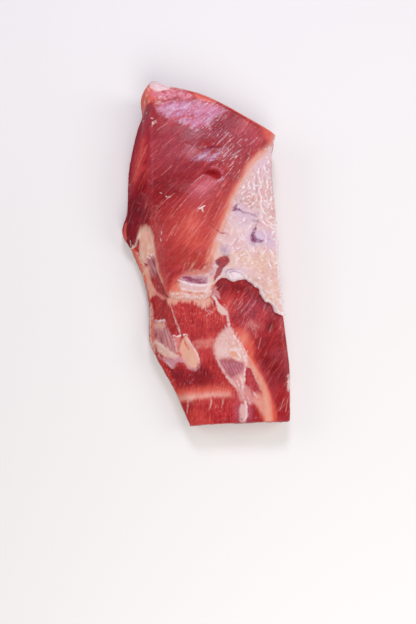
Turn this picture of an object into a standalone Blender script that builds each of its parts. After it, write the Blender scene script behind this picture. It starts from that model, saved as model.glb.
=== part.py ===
# Raw lamb rib rack, lying with its outer side up: a slab of rib meat, the fat
# cover on it, the sheet of muscle over the fat, and seven rib bones set in the
# underside. +Y runs along the slab to the thick end, +X to the sawn long side,
# +Z up. The origin is on the ground under the middle of the slab.

import math

import bmesh
import bpy
import numpy as np

MM = 0.001                  # every length below is in millimetres
GAP = 0.3                   # clearance between pieces that touch

# ---------------------------------------------------------------- outline
# The four sides of the slab seen from above. The thick end is cut slantwise.
LEFT_SIDE = [(-8, -129.4), (-20.2, -103), (-32.4, -82), (-37.2, -72), (-37.9, -58), (-38.2, -45),
             (-43, -25), (-52, -3), (-60.4, 13), (-57.2, 30), (-57, 62), (-52, 93), (-47.2, 107),
             (-48.2, 118), (-41, 129.4)]
SAWN_SIDE = [(59.6, -126.6), (60.4, -96), (59.6, -80), (57.8, -62), (55, -36), (53.8, -12),
             (52.8, 20), (51.4, 45), (51.4, 68), (54.2, 83)]
THIN_END = [(-8, -129.4), (20, -128), (59.6, -126.6)]
THICK_END = [(-41, 129.4), (-28, 123.6), (-2, 116), (20.5, 104), (35.4, 94.5), (54.2, 83)]

# ---------------------------------------------------------------- fat cover
# It ends in a ragged step on the lean at the lower right, follows the rib
# under it in the middle, and shows as a wedge on the left side.
FAT_LOWER_EDGE = [(-43.7, -13), (-34.5, -19), (-28.5, -33), (-25, -41.5), (-12, -43.5), (0, -43),
                  (5.5, -40), (8.4, -32), (13, -27.3), (17.5, -27.4), (21.5, -29.8), (26.5, -27.8),
                  (31, -28.2), (35, -31), (40.4, -35.6), (42.6, -42), (48, -45.6), (50.8, -51),
                  (56.4, -54.6)]
FAT_HIDDEN_SIDE = [(-43.7, -13), (-47, -3), (-47, 8), (-49, 20), (-49, 60), (-43, 95), (-36, 118),
                   (-31, 125.2)]

# ---------------------------------------------------------------- top muscle
MUSCLE_LOWER_EDGE = [(-54.6, 0), (-50, 1), (-47, 5), (-42.3, 9.4), (-37.5, 4.5), (-35.5, -6),
                     (-33, -18), (-28.5, -30), (-24.3, -39.6), (-21.6, -36), (-18, -29),
                     (-12, -24.6), (2, -22), (6.8, -14)]
MUSCLE_FADING_EDGE = [(6.8, -14), (10.4, -1), (15.5, 10), (20, 22), (22.5, 31), (29.6, 44.5),
                      (35, 57), (44, 67), (50.8, 74), (54.2, 83)]

# ---------------------------------------------------------------- heights
# Tables of (place along Y, value), read with soft changes from row to row.
SLAB_TOP = [(-129, 18.5), (-110, 19.6), (-75, 21), (-40, 23), (-10, 23), (30, 22), (80, 20.5), (129, 19)]
SLAB_RIM = [(-129, 14), (-100, 12), (-70, 11), (-40, 11), (-12, 9), (14, 7), (60, 6.5), (110, 8), (129, 12)]
SLAB_SHOULDER = [(-129, 7), (-100, 10), (-60, 20), (-20, 26), (20, 34), (110, 30), (129, 22)]
FAT_THICKNESS = [(-54, 3.4), (-28, 4.2), (0, 5.5), (40, 7.4), (84, 7.4)]
MUSCLE_TOP = [(-40, 25), (-20, 27.5), (0, 30), (30, 32.4), (80, 33), (129, 32)]
MUSCLE_RIM = [(0, 10), (15, 10), (60, 11), (100, 13), (117, 19), (129, 27)]
MUSCLE_SHOULDER = [(0, 18), (21, 22), (44, 21.5), (68, 20), (95, 13.5), (112, 8), (129, 5)]
TABLE_SOFTNESS = 9          # a table is averaged over this much to each side
FAT_UNDER_MUSCLE = 2.6      # thickness of the fat where the muscle covers it
FAT_GROWTH = (-12, 30)      # X between which it grows to its full thickness
FAT_TAPER = 14              # it thins to nothing over this width at the left side
FAT_BLUNT_EDGE = 2.2        # height of its free edge
MUSCLE_FEATHER = 26         # width over which the muscle thins out on the fat
THIN_EDGE = 0.8             # thickness at that feathered edge
EDGE_ROUND = 1.5            # how far a cut edge is rounded down
EDGE_ROUND_WIDTH = 4
BARE_SAWN_EDGE = (-62, 12)  # Y up to which the slab's sawn edge is bare, and its fading
BARE_FAT_EDGE = (70, 12)    # the same for the fat's sawn edge

# ---------------------------------------------------------------- relief
# Low swellings and hollows: centre x, y, radii along x and y, height.
SLAB_RELIEF = [(-6, -110, 24, 6, 1.0), (0, -76, 12, 6, 0.9), (46, -84, 12, 38, 1.4),
               (-30, -36, 4, 15, -1.2), (-25, -74, 8, 12, 0.8), (-6, -80, 5, 11, 1.3),
               (20, -84, 9, 17, 1.1), (37, -103, 4, 16, -0.8), (8, -58, 6, 9, -1.0),
               (25, -45, 14, 7, -0.9)]
FAT_RELIEF = [(41, 32, 3, 18, 1.2), (36, 28, 4, 7, 0.9), (47, 18, 5, 5, 0.8), (40, 1, 6, 6, -0.9),
              (22, -24, 10, 3, 1.0), (12, -14, 6, 7, -1.0)]
MUSCLE_RELIEF = [(-42, 112, 7, 12, 1.2), (-47, 64, 6, 16, 1.4), (-38, 84, 3, 14, -0.7),
                 (-8, 102, 22, 8, 1.3), (20, 92, 12, 8, -0.9), (6, 71, 10, 4, -1.1),
                 (2, 60, 16, 6, 0.9), (10, 48, 5, 4, -1.6), (-12, 44, 20, 8, -0.9),
                 (-6, 12, 16, 16, 1.0)]
RELIEF_FADE = (1, 6)        # the slab's relief starts this far past the fat, over this width

# ---------------------------------------------------------------- ribs
RIBS = [(-110, 12.4), (-75.5, 12.8), (-41, 13), (-6, 12.8), (29, 12.4), (63.5, 12), (97.5, 11.4)]
RIB_HEIGHT = 7.2            # RIBS holds each rib's place along Y at its tip, and its width
RIB_SLANT = -0.03           # how far a rib leans out of the X direction
RIB_BOW = 1.6               # and bows towards the thin end in its middle
RIB_START = 13              # distance of its tip from the left side
RIB_STEPS = 7
RIB_CUT_THROUGH = 4         # how far a groove's cutter stands out of the sawn side
# One section of a rib: (share of half the width, share of the height).
RIB_SECTION = [(-0.55, 0), (0.55, 0), (0.88, 0.18), (1, 0.48), (0.86, 0.8), (0.5, 1),
               (-0.5, 1), (-0.86, 0.8), (-1, 0.48), (-0.88, 0.18)]
# Its rounded tip: (share of a step, share of the section's size).
RIB_TIP = [(0, 0.45), (0.12, 0.8), (0.3, 1)]
TIP_LEAST_HEIGHT = 0.55     # the tip keeps this share of the height
SLAB_UNDERSIDE = 1.0        # height of the meat between the ribs
UNDERSIDE_CHAMFER = 1.6

# ---------------------------------------------------------------- mesh sizes
SLAB_CELLS = (22, 42)
FAT_CELLS = (28, 24)
MUSCLE_CELLS = (24, 24)

COLOURS = {
    "lean": ((0.33, 0.03, 0.045, 1), 0.38),
    "fat": ((0.80, 0.60, 0.54, 1), 0.45),
    "top_lean": ((0.42, 0.06, 0.07, 1), 0.36),
    "bone": ((0.72, 0.55, 0.42, 1), 0.5),
}


def smooth_path(points, count=160):
    """A smooth curve through the points, as places at even distances along it."""
    pts = np.array(points, float)
    before = 2 * pts[0] - pts[1]
    after = 2 * pts[-1] - pts[-2]
    pts = np.vstack([before, pts, after])
    curve = []
    for a, b, c, d in zip(pts[:-3], pts[1:-2], pts[2:-1], pts[3:]):
        for t in np.linspace(0, 1, 12, endpoint=False):
            curve.append(0.5 * (2 * b + (c - a) * t + (2 * a - 5 * b + 4 * c - d) * t ** 2
                                + (3 * b - a - 3 * c + d) * t ** 3))
    curve = np.array(curve + [pts[-2]])
    run = np.append(0, np.cumsum(np.hypot(*np.diff(curve, axis=0).T)))
    even = np.linspace(0, run[-1], count)
    return np.column_stack([np.interp(even, run, curve[:, k]) for k in (0, 1)])


def part_of_path(path, share_from, share_to, count=160):
    """A stretch of a path, by shares of its length."""
    place = np.linspace(share_from, share_to, count) * (len(path) - 1)
    return np.column_stack([np.interp(place, np.arange(len(path)), path[:, k]) for k in (0, 1)])


def share_at(path, point):
    """How far along a path its point nearest to the given one lies."""
    return np.argmin(np.hypot(*(path - np.array(point, float)).T)) / (len(path) - 1)


def distance_to(path, x, y):
    """Distance of each place from a path."""
    start = path[:-1]
    step = np.diff(path, axis=0)
    length = (step ** 2).sum(axis=1)
    rel_x = x[..., None] - start[:, 0]
    rel_y = y[..., None] - start[:, 1]
    along = np.clip((rel_x * step[:, 0] + rel_y * step[:, 1]) / length, 0, 1)
    return np.hypot(rel_x - along * step[:, 0], rel_y - along * step[:, 1]).min(axis=-1)


def station(table, y):
    """The value of a station table at y, with soft changes between stations."""
    places = np.array([row[0] for row in table], float)
    values = np.array([row[1] for row in table], float)
    spread = np.linspace(-TABLE_SOFTNESS, TABLE_SOFTNESS, 7)
    return np.mean([np.interp(y + shift, places, values) for shift in spread], axis=0)


def ease(share):
    """0 to 1, with soft ends."""
    share = np.clip(share, 0, 1)
    return share * share * (3 - 2 * share)


def shoulder(share):
    """0 to 1, steep at first and level at the end."""
    return 1 - (1 - np.clip(share, 0, 1)) ** 2


def relief(swells, x, y):
    """The sum of the swellings and hollows at each place."""
    total = 0
    for centre_x, centre_y, radius_x, radius_y, height in swells:
        total = total + height * np.exp(-((x - centre_x) / radius_x) ** 2 - ((y - centre_y) / radius_y) ** 2)
    return total


left_side = smooth_path(LEFT_SIDE)
sawn_side = smooth_path(SAWN_SIDE)
thin_end = smooth_path(THIN_END)
thick_end = smooth_path(THICK_END)
fat_lower = smooth_path(FAT_LOWER_EDGE, 240)
fat_hidden = smooth_path(FAT_HIDDEN_SIDE)
muscle_lower = smooth_path(MUSCLE_LOWER_EDGE, 240)
muscle_fading = smooth_path(MUSCLE_FADING_EDGE)

fat_sawn = part_of_path(sawn_side, share_at(sawn_side, FAT_LOWER_EDGE[-1]), 1)
fat_lower[-1] = fat_sawn[0]
fat_thick = part_of_path(thick_end, share_at(thick_end, FAT_HIDDEN_SIDE[-1]), 1)
fat_hidden[-1] = fat_thick[0]
muscle_left = part_of_path(left_side, share_at(left_side, MUSCLE_LOWER_EDGE[0]), 1)
muscle_lower[0] = muscle_left[0]


def rounded_down(distance):
    """How far a surface drops near a cut edge."""
    return EDGE_ROUND * (1 - np.clip(distance / EDGE_ROUND_WIDTH, 0, 1)) ** 2


def bare_edge(limits, y):
    """1 where a layer's sawn edge lies bare, 0 where the next layer covers it."""
    start, width = limits
    return 1 - ease((y - start) / width)


def slab_top(x, y):
    from_left = distance_to(left_side, x, y)
    rim = station(SLAB_RIM, y)
    plateau = station(SLAB_TOP, y)
    height = rim + (plateau - rim) * shoulder(from_left / station(SLAB_SHOULDER, y))
    height -= bare_edge(BARE_SAWN_EDGE, y) * rounded_down(distance_to(sawn_side, x, y))
    height -= rounded_down(distance_to(thin_end, x, y))
    past_fat = np.interp(x, fat_lower[:, 0], fat_lower[:, 1]) - y
    start, width = RELIEF_FADE
    return height + relief(SLAB_RELIEF, x, y) * ease((past_fat - start) / width)


def fat_thickness(x, y):
    open_side = station(FAT_THICKNESS, y)
    start, stop = FAT_GROWTH
    full = FAT_UNDER_MUSCLE + (open_side - FAT_UNDER_MUSCLE) * ease((x - start) / (stop - start))
    return full * ease(distance_to(left_side, x, y) / FAT_TAPER)


def fat_top(x, y):
    """The fat's upper face; the muscle lies on this level past the fat's edge too."""
    return slab_top(x, y) + GAP + fat_thickness(x, y) + relief(FAT_RELIEF, x, y)


def fat_shown_top(x, y):
    """The same face with its free edges rounded off."""
    blunt = 1 - np.clip(distance_to(fat_lower, x, y) / EDGE_ROUND_WIDTH, 0, 1) ** 0.5
    thickness = fat_top(x, y) - slab_top(x, y) - GAP
    thickness = thickness - blunt * np.maximum(thickness - FAT_BLUNT_EDGE, 0)
    thickness -= bare_edge(BARE_FAT_EDGE, y) * rounded_down(distance_to(sawn_side, x, y))
    return slab_top(x, y) + GAP + np.maximum(thickness, THIN_EDGE)


def muscle_underside(x, y):
    return fat_top(x, y) + GAP


def muscle_top(x, y):
    rim = station(MUSCLE_RIM, y)
    plateau = station(MUSCLE_TOP, y)
    from_left = distance_to(left_side, x, y)
    full = rim + (plateau - rim) * shoulder(from_left / station(MUSCLE_SHOULDER, y))
    full += relief(MUSCLE_RELIEF, x, y) - rounded_down(distance_to(thick_end, x, y))
    under = muscle_underside(x, y)
    free_edge = np.minimum(distance_to(muscle_fading, x, y), distance_to(muscle_lower, x, y))
    feather = shoulder(free_edge / MUSCLE_FEATHER)
    return under + THIN_EDGE + np.maximum(full - under - THIN_EDGE, 0) * feather


def crowded_steps(count):
    """Shares from 0 to 1 that lie closer together at both ends."""
    even = np.linspace(0, 1, count + 1)
    return 0.6 * even + 0.4 * (1 - np.cos(math.pi * even)) / 2


def patch(lower, upper, left, right, cells):
    """Places on a four-sided patch between its edges: rows run from lower to upper."""
    across, along = cells
    s = crowded_steps(across)
    t = crowded_steps(along)

    def at(path, share):
        return np.column_stack([np.interp(share, np.linspace(0, 1, len(path)), path[:, k]) for k in (0, 1)])

    low, high, near, far = at(lower, s), at(upper, s), at(left, t), at(right, t)
    s = s[None, :, None]
    t = t[:, None, None]
    sides = (1 - s) * near[:, None, :] + s * far[:, None, :]
    ends = (1 - t) * low[None] + t * high[None]
    corners = ((1 - s) * (1 - t) * low[0] + s * (1 - t) * low[-1] + (1 - s) * t * high[0] + s * t * high[-1])
    place = sides + ends - corners
    return place[..., 0], place[..., 1]


def rim_of(grid):
    """The ids round the border of a grid, counter-clockwise seen from above."""
    return (list(grid[0, :]) + list(grid[1:, -1]) + list(grid[-1, -2::-1]) + list(grid[-2:0:-1, 0]))


def grid_faces(grid, upward):
    quads = zip(grid[:-1, :-1].flat, grid[:-1, 1:].flat, grid[1:, 1:].flat, grid[1:, :-1].flat)
    return [quad if upward else quad[::-1] for quad in quads]


def material(name):
    colour, roughness = COLOURS[name]
    made = bpy.data.materials.new(name)
    made.use_nodes = True
    shader = made.node_tree.nodes["Principled BSDF"]
    shader.inputs["Base Color"].default_value = colour
    shader.inputs["Roughness"].default_value = roughness
    shader.inputs["Metallic"].default_value = 0.0
    return made


def solid(name, points, faces, finish):
    """A named object from points in millimetres."""
    mesh = bpy.data.meshes.new(name)
    corners = [tuple(c * MM for c in point) for point in points]
    mesh.from_pydata(corners, [], [tuple(int(corner) for corner in face) for face in faces])
    shaped = bmesh.new()
    shaped.from_mesh(mesh)
    bmesh.ops.triangulate(shaped, faces=[f for f in shaped.faces if len(f.verts) == 4])
    shaped.to_mesh(mesh)
    shaped.free()
    mesh.shade_smooth()
    mesh.set_sharp_from_angle(angle=math.radians(45))
    piece = bpy.data.objects.new(name, mesh)
    bpy.context.scene.collection.objects.link(piece)
    if finish:
        mesh.materials.append(finish)
    return piece


def layer(name, place, top, underside, finish):
    """A closed sheet between two surfaces over one patch."""
    x, y = place
    count = x.size
    high = np.column_stack([x.flat, y.flat, top(x, y).flat])
    low = np.column_stack([x.flat, y.flat, underside(x, y).flat])
    upper = np.arange(count).reshape(x.shape)
    lower = upper + count
    faces = grid_faces(upper, True) + grid_faces(lower, False)
    around = rim_of(upper)
    faces += [(a + count, b + count, b, a) for a, b in zip(around, around[1:] + around[:1])]
    return solid(name, np.vstack([high, low]), faces, finish)


def slab_solid(finish):
    """The meat slab: shaped above, flat below with a chamfer round its rim."""
    x, y = patch(thin_end, thick_end, left_side, sawn_side, SLAB_CELLS)
    upper = np.arange(x.size).reshape(x.shape)
    around = rim_of(upper)
    rim_x, rim_y = x.flat[around], y.flat[around]
    middle = np.array([rim_x.mean(), rim_y.mean()])
    inward = middle - np.column_stack([rim_x, rim_y])
    inward /= np.hypot(*inward.T)[:, None]
    foot = np.column_stack([rim_x, rim_y]) + inward * UNDERSIDE_CHAMFER
    points = [np.column_stack([x.flat, y.flat, slab_top(x, y).flat]),
              np.column_stack([rim_x, rim_y, np.full(len(around), SLAB_UNDERSIDE + UNDERSIDE_CHAMFER)]),
              np.column_stack([foot, np.full(len(around), SLAB_UNDERSIDE)])]
    count = len(around)
    wall = list(range(x.size, x.size + count))
    base = list(range(x.size + count, x.size + 2 * count))
    faces = grid_faces(upper, True)
    for ring_high, ring_low in ((around, wall), (wall, base)):
        for k in range(count):
            n = (k + 1) % count
            faces.append((ring_low[k], ring_low[n], ring_high[n], ring_high[k]))
    faces.append(tuple(base[::-1]))
    return solid("rib_slab", np.vstack(points), faces, finish)


def outline_x(y):
    """X of the sawn side at y, or of the slanted end beyond that side."""
    right = np.vstack([sawn_side, thick_end[::-1][1:]])
    return np.interp(y, right[:, 1], right[:, 0])


def rib_rings(place, width, spare, beyond):
    """Sections of one rib from its rounded tip to the sawn side."""
    half = width / 2 + spare
    left = np.interp(place, left_side[:, 1], left_side[:, 0]) + RIB_START - spare
    right = outline_x(place)
    run = (right - left) / RIB_STEPS
    stops = [(left + share * run, size) for share, size in RIB_TIP]
    stops += [(left + k * run, 1) for k in range(1, RIB_STEPS + 1)]
    rings = []
    for number, (x, size) in enumerate(stops):
        share = (x - left) / (right - left)
        centre = place + RIB_SLANT * (x - left) - RIB_BOW * math.sin(math.pi * share)
        last = number == len(stops) - 1
        ring = []
        for across, up in RIB_SECTION:
            y = centre + across * half * size
            z = -spare + up * (RIB_HEIGHT + 2 * spare) * (TIP_LEAST_HEIGHT + (1 - TIP_LEAST_HEIGHT) * size)
            at_x = outline_x(y) + beyond if last else x
            ring.append((at_x, y, z))
        rings.append(ring)
    return rings


def rib_mesh(rings, first):
    count = len(RIB_SECTION)
    points = [point for ring in rings for point in ring]
    faces = []
    for step in range(len(rings) - 1):
        for k in range(count):
            n = (k + 1) % count
            a = first + step * count
            faces.append((a + k, a + n, a + count + n, a + count + k))
    faces.append(tuple(range(first + count - 1, first - 1, -1)))
    end = first + (len(rings) - 1) * count
    faces.append(tuple(range(end, end + count)))
    return points, faces


def rib_channels():
    """The grooves that hold the ribs, as one cutter."""
    points, faces = [], []
    for place, width in RIBS:
        more_points, more_faces = rib_mesh(rib_rings(place, width, GAP, RIB_CUT_THROUGH), len(points))
        points += more_points
        faces += more_faces
    cutter = solid("rib_channels", points, faces, None)
    cutter.hide_render = True
    cutter.display_type = "WIRE"
    return cutter


def main():
    for old in list(bpy.data.objects):
        bpy.data.objects.remove(old, do_unlink=True)

    slab = slab_solid(material("lean"))
    cut = slab.modifiers.new("channels", "BOOLEAN")
    cut.operation = "DIFFERENCE"
    cut.solver = "EXACT"
    cut.object = rib_channels()

    bone = material("bone")
    for number, (place, width) in enumerate(RIBS, 1):
        points, faces = rib_mesh(rib_rings(place, width, 0, 0), 0)
        solid("rib_%d" % number, points, faces, bone)

    layer("fat_cover", patch(fat_lower, fat_thick, fat_hidden, fat_sawn, FAT_CELLS), fat_shown_top,
          lambda x, y: slab_top(x, y) + GAP, material("fat"))
    layer("top_muscle", patch(muscle_lower, thick_end, muscle_left, muscle_fading, MUSCLE_CELLS), muscle_top,
          muscle_underside, material("top_lean"))


main()
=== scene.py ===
# Looks of the raw lamb rib rack: a slab of rib meat, its fat cover, the sheet of
# muscle over the fat and seven ribs. Lengths are in millimetres until a mesh is
# made. +Y runs to the thick end, +X to the sawn long side.
import math

import bpy
import numpy as np
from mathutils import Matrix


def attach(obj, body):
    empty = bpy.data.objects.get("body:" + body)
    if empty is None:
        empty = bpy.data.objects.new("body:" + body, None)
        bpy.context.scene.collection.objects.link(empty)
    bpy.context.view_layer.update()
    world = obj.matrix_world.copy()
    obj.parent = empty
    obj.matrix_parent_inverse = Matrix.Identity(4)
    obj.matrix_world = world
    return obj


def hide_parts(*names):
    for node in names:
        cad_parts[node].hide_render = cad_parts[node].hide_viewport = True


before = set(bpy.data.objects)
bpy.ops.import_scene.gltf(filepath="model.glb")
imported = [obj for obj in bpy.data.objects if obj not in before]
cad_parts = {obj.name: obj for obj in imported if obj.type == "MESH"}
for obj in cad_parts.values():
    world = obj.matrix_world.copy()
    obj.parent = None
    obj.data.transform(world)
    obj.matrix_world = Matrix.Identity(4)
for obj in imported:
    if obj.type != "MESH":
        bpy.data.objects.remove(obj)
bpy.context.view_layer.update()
print("frame loaded:", len(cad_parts), "nodes")

mm = 0.001
clearance = 0.3      # gap between layers that lie on each other

# the cut seen from above
outline = {
    "left": [(-8, -129.4), (-20.2, -103), (-32.4, -82), (-37.2, -72), (-37.9, -58), (-38.2, -45),
             (-43, -25), (-52, -3), (-60.4, 13), (-57.2, 30), (-57, 62), (-52, 93), (-47.2, 107),
             (-48.2, 118), (-41, 129.4)],
    "sawn": [(59.6, -126.6), (60.4, -96), (59.6, -80), (57.8, -62), (55, -36), (53.8, -12),
             (52.8, 20), (51.4, 45), (51.4, 68), (54.2, 83)],
    "thinEnd": [(-8, -129.4), (20, -128), (59.6, -126.6)],
    "thickEnd": [(-41, 129.4), (-28, 123.6), (-2, 116), (20.5, 104), (35.4, 94.5), (54.2, 83)],
    "fatLower": [(-43.7, -13), (-34.5, -19), (-28.5, -33), (-25, -41.5), (-12, -43.5), (0, -43),
                 (5.5, -40), (8.4, -32), (13, -27.3), (17.5, -27.4), (21.5, -29.8), (26.5, -28.4),
                 (31, -28.2), (33, -30), (35, -30.6), (37, -33.2), (40.5, -35.5), (41, -38.5),
                 (43, -42), (44.3, -44), (47, -45), (49, -46.5), (50, -48.5), (51, -51.3),
                 (53.5, -53), (56.4, -54.6)],
    "fatHidden": [(-43.7, -13), (-47, -3), (-47, 8), (-49, 20), (-49, 60), (-43, 95), (-36, 118),
                  (-31, 125.2)],
    "muscleLower": [(-54.6, 0), (-50, 1), (-47, 5), (-42.3, 9.4), (-37.5, 4.5), (-35.5, -6),
                    (-33, -18), (-28.5, -30), (-24.3, -39.6), (-21.6, -36), (-18, -29),
                    (-12, -24.6), (2, -22), (6.8, -14)],
    "muscleFading": [(6.8, -14), (10.4, -1), (15.5, 10), (20, 22), (22.5, 31), (29.6, 44.5),
                     (35, 57), (44, 67), (50.8, 74), (54.2, 83)],
}


def smoothPath(points, count=160, closed=False):
    pts = np.array(points, float)
    if closed:
        pts = np.vstack([pts[-1], pts, pts[:2]])
    else:
        pts = np.vstack([2 * pts[0] - pts[1], pts, 2 * pts[-1] - pts[-2]])
    curve = []
    for a, b, c, d in zip(pts[:-3], pts[1:-2], pts[2:-1], pts[3:]):
        for t in np.linspace(0, 1, 12, endpoint=False):
            curve.append(0.5 * (2 * b + (c - a) * t + (2 * a - 5 * b + 4 * c - d) * t ** 2
                                + (3 * b - a - 3 * c + d) * t ** 3))
    curve = np.array(curve + [pts[-2]])
    run = np.append(0, np.cumsum(np.hypot(*np.diff(curve, axis=0).T)))
    even = np.linspace(0, run[-1], count)
    return np.column_stack([np.interp(even, run, curve[:, k]) for k in (0, 1)])


def partOfPath(path, shareFrom, shareTo, count=160):
    place = np.linspace(shareFrom, shareTo, count) * (len(path) - 1)
    return np.column_stack([np.interp(place, np.arange(len(path)), path[:, k]) for k in (0, 1)])


def shareAt(path, point):
    return np.argmin(np.hypot(*(path - np.array(point, float)).T)) / (len(path) - 1)


def nearest(path, x, y):
    # distance to a path, and the share of its length where that is
    start = path[:-1]
    step = np.diff(path, axis=0)
    length = np.maximum((step ** 2).sum(axis=1), 1e-9)
    away = np.empty(x.shape)
    share = np.empty(x.shape)
    block = 20000
    for first in range(0, len(x), block):
        cut = slice(first, first + block)
        relX = x[cut, None] - start[:, 0]
        relY = y[cut, None] - start[:, 1]
        along = np.clip((relX * step[:, 0] + relY * step[:, 1]) / length, 0, 1)
        gap = np.hypot(relX - along * step[:, 0], relY - along * step[:, 1])
        best = gap.argmin(axis=1)
        rows = np.arange(len(best))
        away[cut] = gap[rows, best]
        share[cut] = (best + along[rows, best]) / len(start)
    return away, share


def distanceTo(path, x, y):
    shape = np.shape(x)
    return nearest(path, np.ravel(x), np.ravel(y))[0].reshape(shape)


def inside(path, x, y):
    # which places lie within a closed path
    within = np.zeros(x.shape, bool)
    ahead = np.roll(path, -1, axis=0)
    for (ax, ay), (bx, by) in zip(path, ahead):
        if ay != by:
            crosses = ((ay > y) != (by > y)) & (x < (bx - ax) * (y - ay) / (by - ay) + ax)
            within ^= crosses
    return within


def ease(share):
    share = np.clip(share, 0, 1)
    return share * share * (3 - 2 * share)


def shoulder(share):
    return 1 - (1 - np.clip(share, 0, 1)) ** 2


def mix(a, b, share):
    return a + (b - a) * share


def station(table, y):
    places = np.array([row[0] for row in table], float)
    values = np.array([row[1] for row in table], float)
    spread = np.linspace(-9, 9, 7)
    return np.mean([np.interp(y + shift, places, values) for shift in spread], axis=0)


def swellings(table, x, y):
    total = 0
    for centreX, centreY, radiusX, radiusY, height in table:
        far = -((x - centreX) / radiusX) ** 2 - ((y - centreY) / radiusY) ** 2
        total = total + height * np.exp(far)
    return total


latticeSize = 256


def softNoise(u, v, seed):
    # smooth random waves, -1 to 1, one wave to about two units
    lattice = np.random.default_rng(seed).uniform(-1, 1, (latticeSize, latticeSize))
    cellU = np.floor(u).astype(int)
    cellV = np.floor(v).astype(int)
    partU = ease(u - cellU)
    partV = ease(v - cellV)
    cellU %= latticeSize
    cellV %= latticeSize
    nextU = (cellU + 1) % latticeSize
    nextV = (cellV + 1) % latticeSize
    low = mix(lattice[cellU, cellV], lattice[nextU, cellV], partU)
    high = mix(lattice[cellU, nextV], lattice[nextU, nextV], partU)
    return mix(low, high, partV)


def fibres(x, y, angle, across, along, seed):
    # streaks that run at an angle in degrees, with their width and length
    turn = math.radians(angle)
    u = (-x * math.sin(turn) + y * math.cos(turn)) / across
    v = (x * math.cos(turn) + y * math.sin(turn)) / along
    return 0.7 * softNoise(u, v, seed) + 0.3 * softNoise(u * 2.1 + 9, v * 1.7, seed + 1)


def threads(x, y, angle, width, length, seed):
    # thin bright threads that lie in broken rows, 0 to 1
    single = fibres(x, y, angle, width, length, seed)
    rows = fibres(x, y, angle, width * 2.2, length * 5, seed + 2)
    return ease((single + 0.8 * rows - 0.28) / 0.4)


def crumples(x, y, size, seed, width=3.0):
    # thin curling ridges, 0 to 1
    bendX = 0.9 * softNoise(x / size, y / size, seed)
    bendY = 0.9 * softNoise(x / size + 7, y / size, seed + 1)
    wave = softNoise(x / size + bendX, y / size + bendY, seed + 2)
    return (1 - np.clip(np.abs(wave) * width, 0, 1)) ** 1.5


side = {name: smoothPath(points) for name, points in outline.items()}
side["fatLower"] = smoothPath(outline["fatLower"], 320)
side["muscleLower"] = smoothPath(outline["muscleLower"], 240)
side["fatSawn"] = partOfPath(side["sawn"], shareAt(side["sawn"], outline["fatLower"][-1]), 1)
side["fatThick"] = partOfPath(side["thickEnd"], shareAt(side["thickEnd"], outline["fatHidden"][-1]), 1)
side["muscleLeft"] = partOfPath(side["left"], shareAt(side["left"], outline["muscleLower"][0]), 1)
side["fatLower"][-1] = side["fatSawn"][0]
side["fatHidden"][-1] = side["fatThick"][0]
side["muscleLower"][0] = side["muscleLeft"][0]

# heights: the same form as the solids, before the fine relief
form = {
    "slabTop": [(-129, 18.5), (-110, 19.6), (-75, 21), (-40, 23), (-10, 23), (30, 22), (80, 20.5),
                (129, 19)],
    "slabRim": [(-129, 14), (-100, 12), (-70, 11), (-40, 11), (-12, 9), (14, 7), (60, 6.5), (110, 8),
                (129, 12)],
    "slabShoulder": [(-129, 7), (-100, 10), (-60, 20), (-20, 26), (20, 34), (110, 30), (129, 22)],
    "fatThickness": [(-54, 3.4), (-28, 4.2), (0, 5.5), (40, 7.4), (84, 7.4)],
    "muscleTop": [(-40, 25), (-20, 27.5), (0, 30), (30, 32.4), (80, 33), (129, 32)],
    "muscleRim": [(0, 10), (15, 10), (60, 11), (100, 13), (117, 19), (129, 27)],
    "muscleShoulder": [(0, 18), (21, 22), (44, 21.5), (68, 20), (95, 13.5), (112, 8), (129, 5)],
    "slabSwellings": [(-6, -110, 24, 6, 1.0), (0, -76, 12, 6, 0.9), (46, -84, 12, 38, 1.4),
                      (-30, -36, 4, 15, -1.2), (-25, -74, 8, 12, 0.8), (-6, -80, 5, 11, 1.3),
                      (20, -84, 9, 17, 1.1), (37, -103, 4, 16, -0.8), (8, -58, 6, 9, -1.0),
                      (25, -45, 14, 7, -0.9)],
    "fatSwellings": [(41, 32, 3, 18, 1.2), (36, 28, 4, 7, 0.9), (47, 18, 5, 5, 0.8), (40, 1, 6, 6, -0.9),
                     (22, -24, 10, 3, 1.0), (12, -14, 6, 7, -1.0)],
    "muscleSwellings": [(-42, 112, 7, 12, 1.2), (-47, 64, 6, 16, 1.4), (-38, 84, 3, 14, -0.7),
                        (-8, 102, 22, 8, 1.3), (20, 92, 12, 8, -0.9), (6, 71, 10, 4, -1.1),
                        (2, 60, 16, 6, 0.9), (10, 48, 5, 4, -1.6), (-12, 44, 20, 8, -0.9),
                        (-6, 12, 16, 16, 1.0)],
    "fatUnderMuscle": 2.6, "fatGrowth": (-12, 30), "fatTaper": 14, "fatEdge": 1.3,
    "muscleFeather": 26, "muscleEdgeWidth": 4, "thinEdge": 0.5, "edgeRound": 1.5, "edgeRoundWidth": 4,
    "bareSlabEdge": (-62, 12), "bareFatEdge": (70, 12), "reliefFade": (1, 6),
    # the fat's lower edge thins out more on the left, from X = 8 over 10
    "leftPart": (8, 10), "leftRoundWidth": 7, "leftFatEdge": 0.1, "leftEdgeWidth": 6,
    "leftClearance": 0.02, "leftThinEdge": 0.12,
}


def roundedDown(distance):
    return form["edgeRound"] * (1 - np.clip(distance / form["edgeRoundWidth"], 0, 1)) ** 2


def bareEdge(limits, y):
    start, width = limits
    return 1 - ease((y - start) / width)


def fatEdgeY(x):
    return np.interp(x, side["fatLower"][:, 0], side["fatLower"][:, 1])


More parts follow.
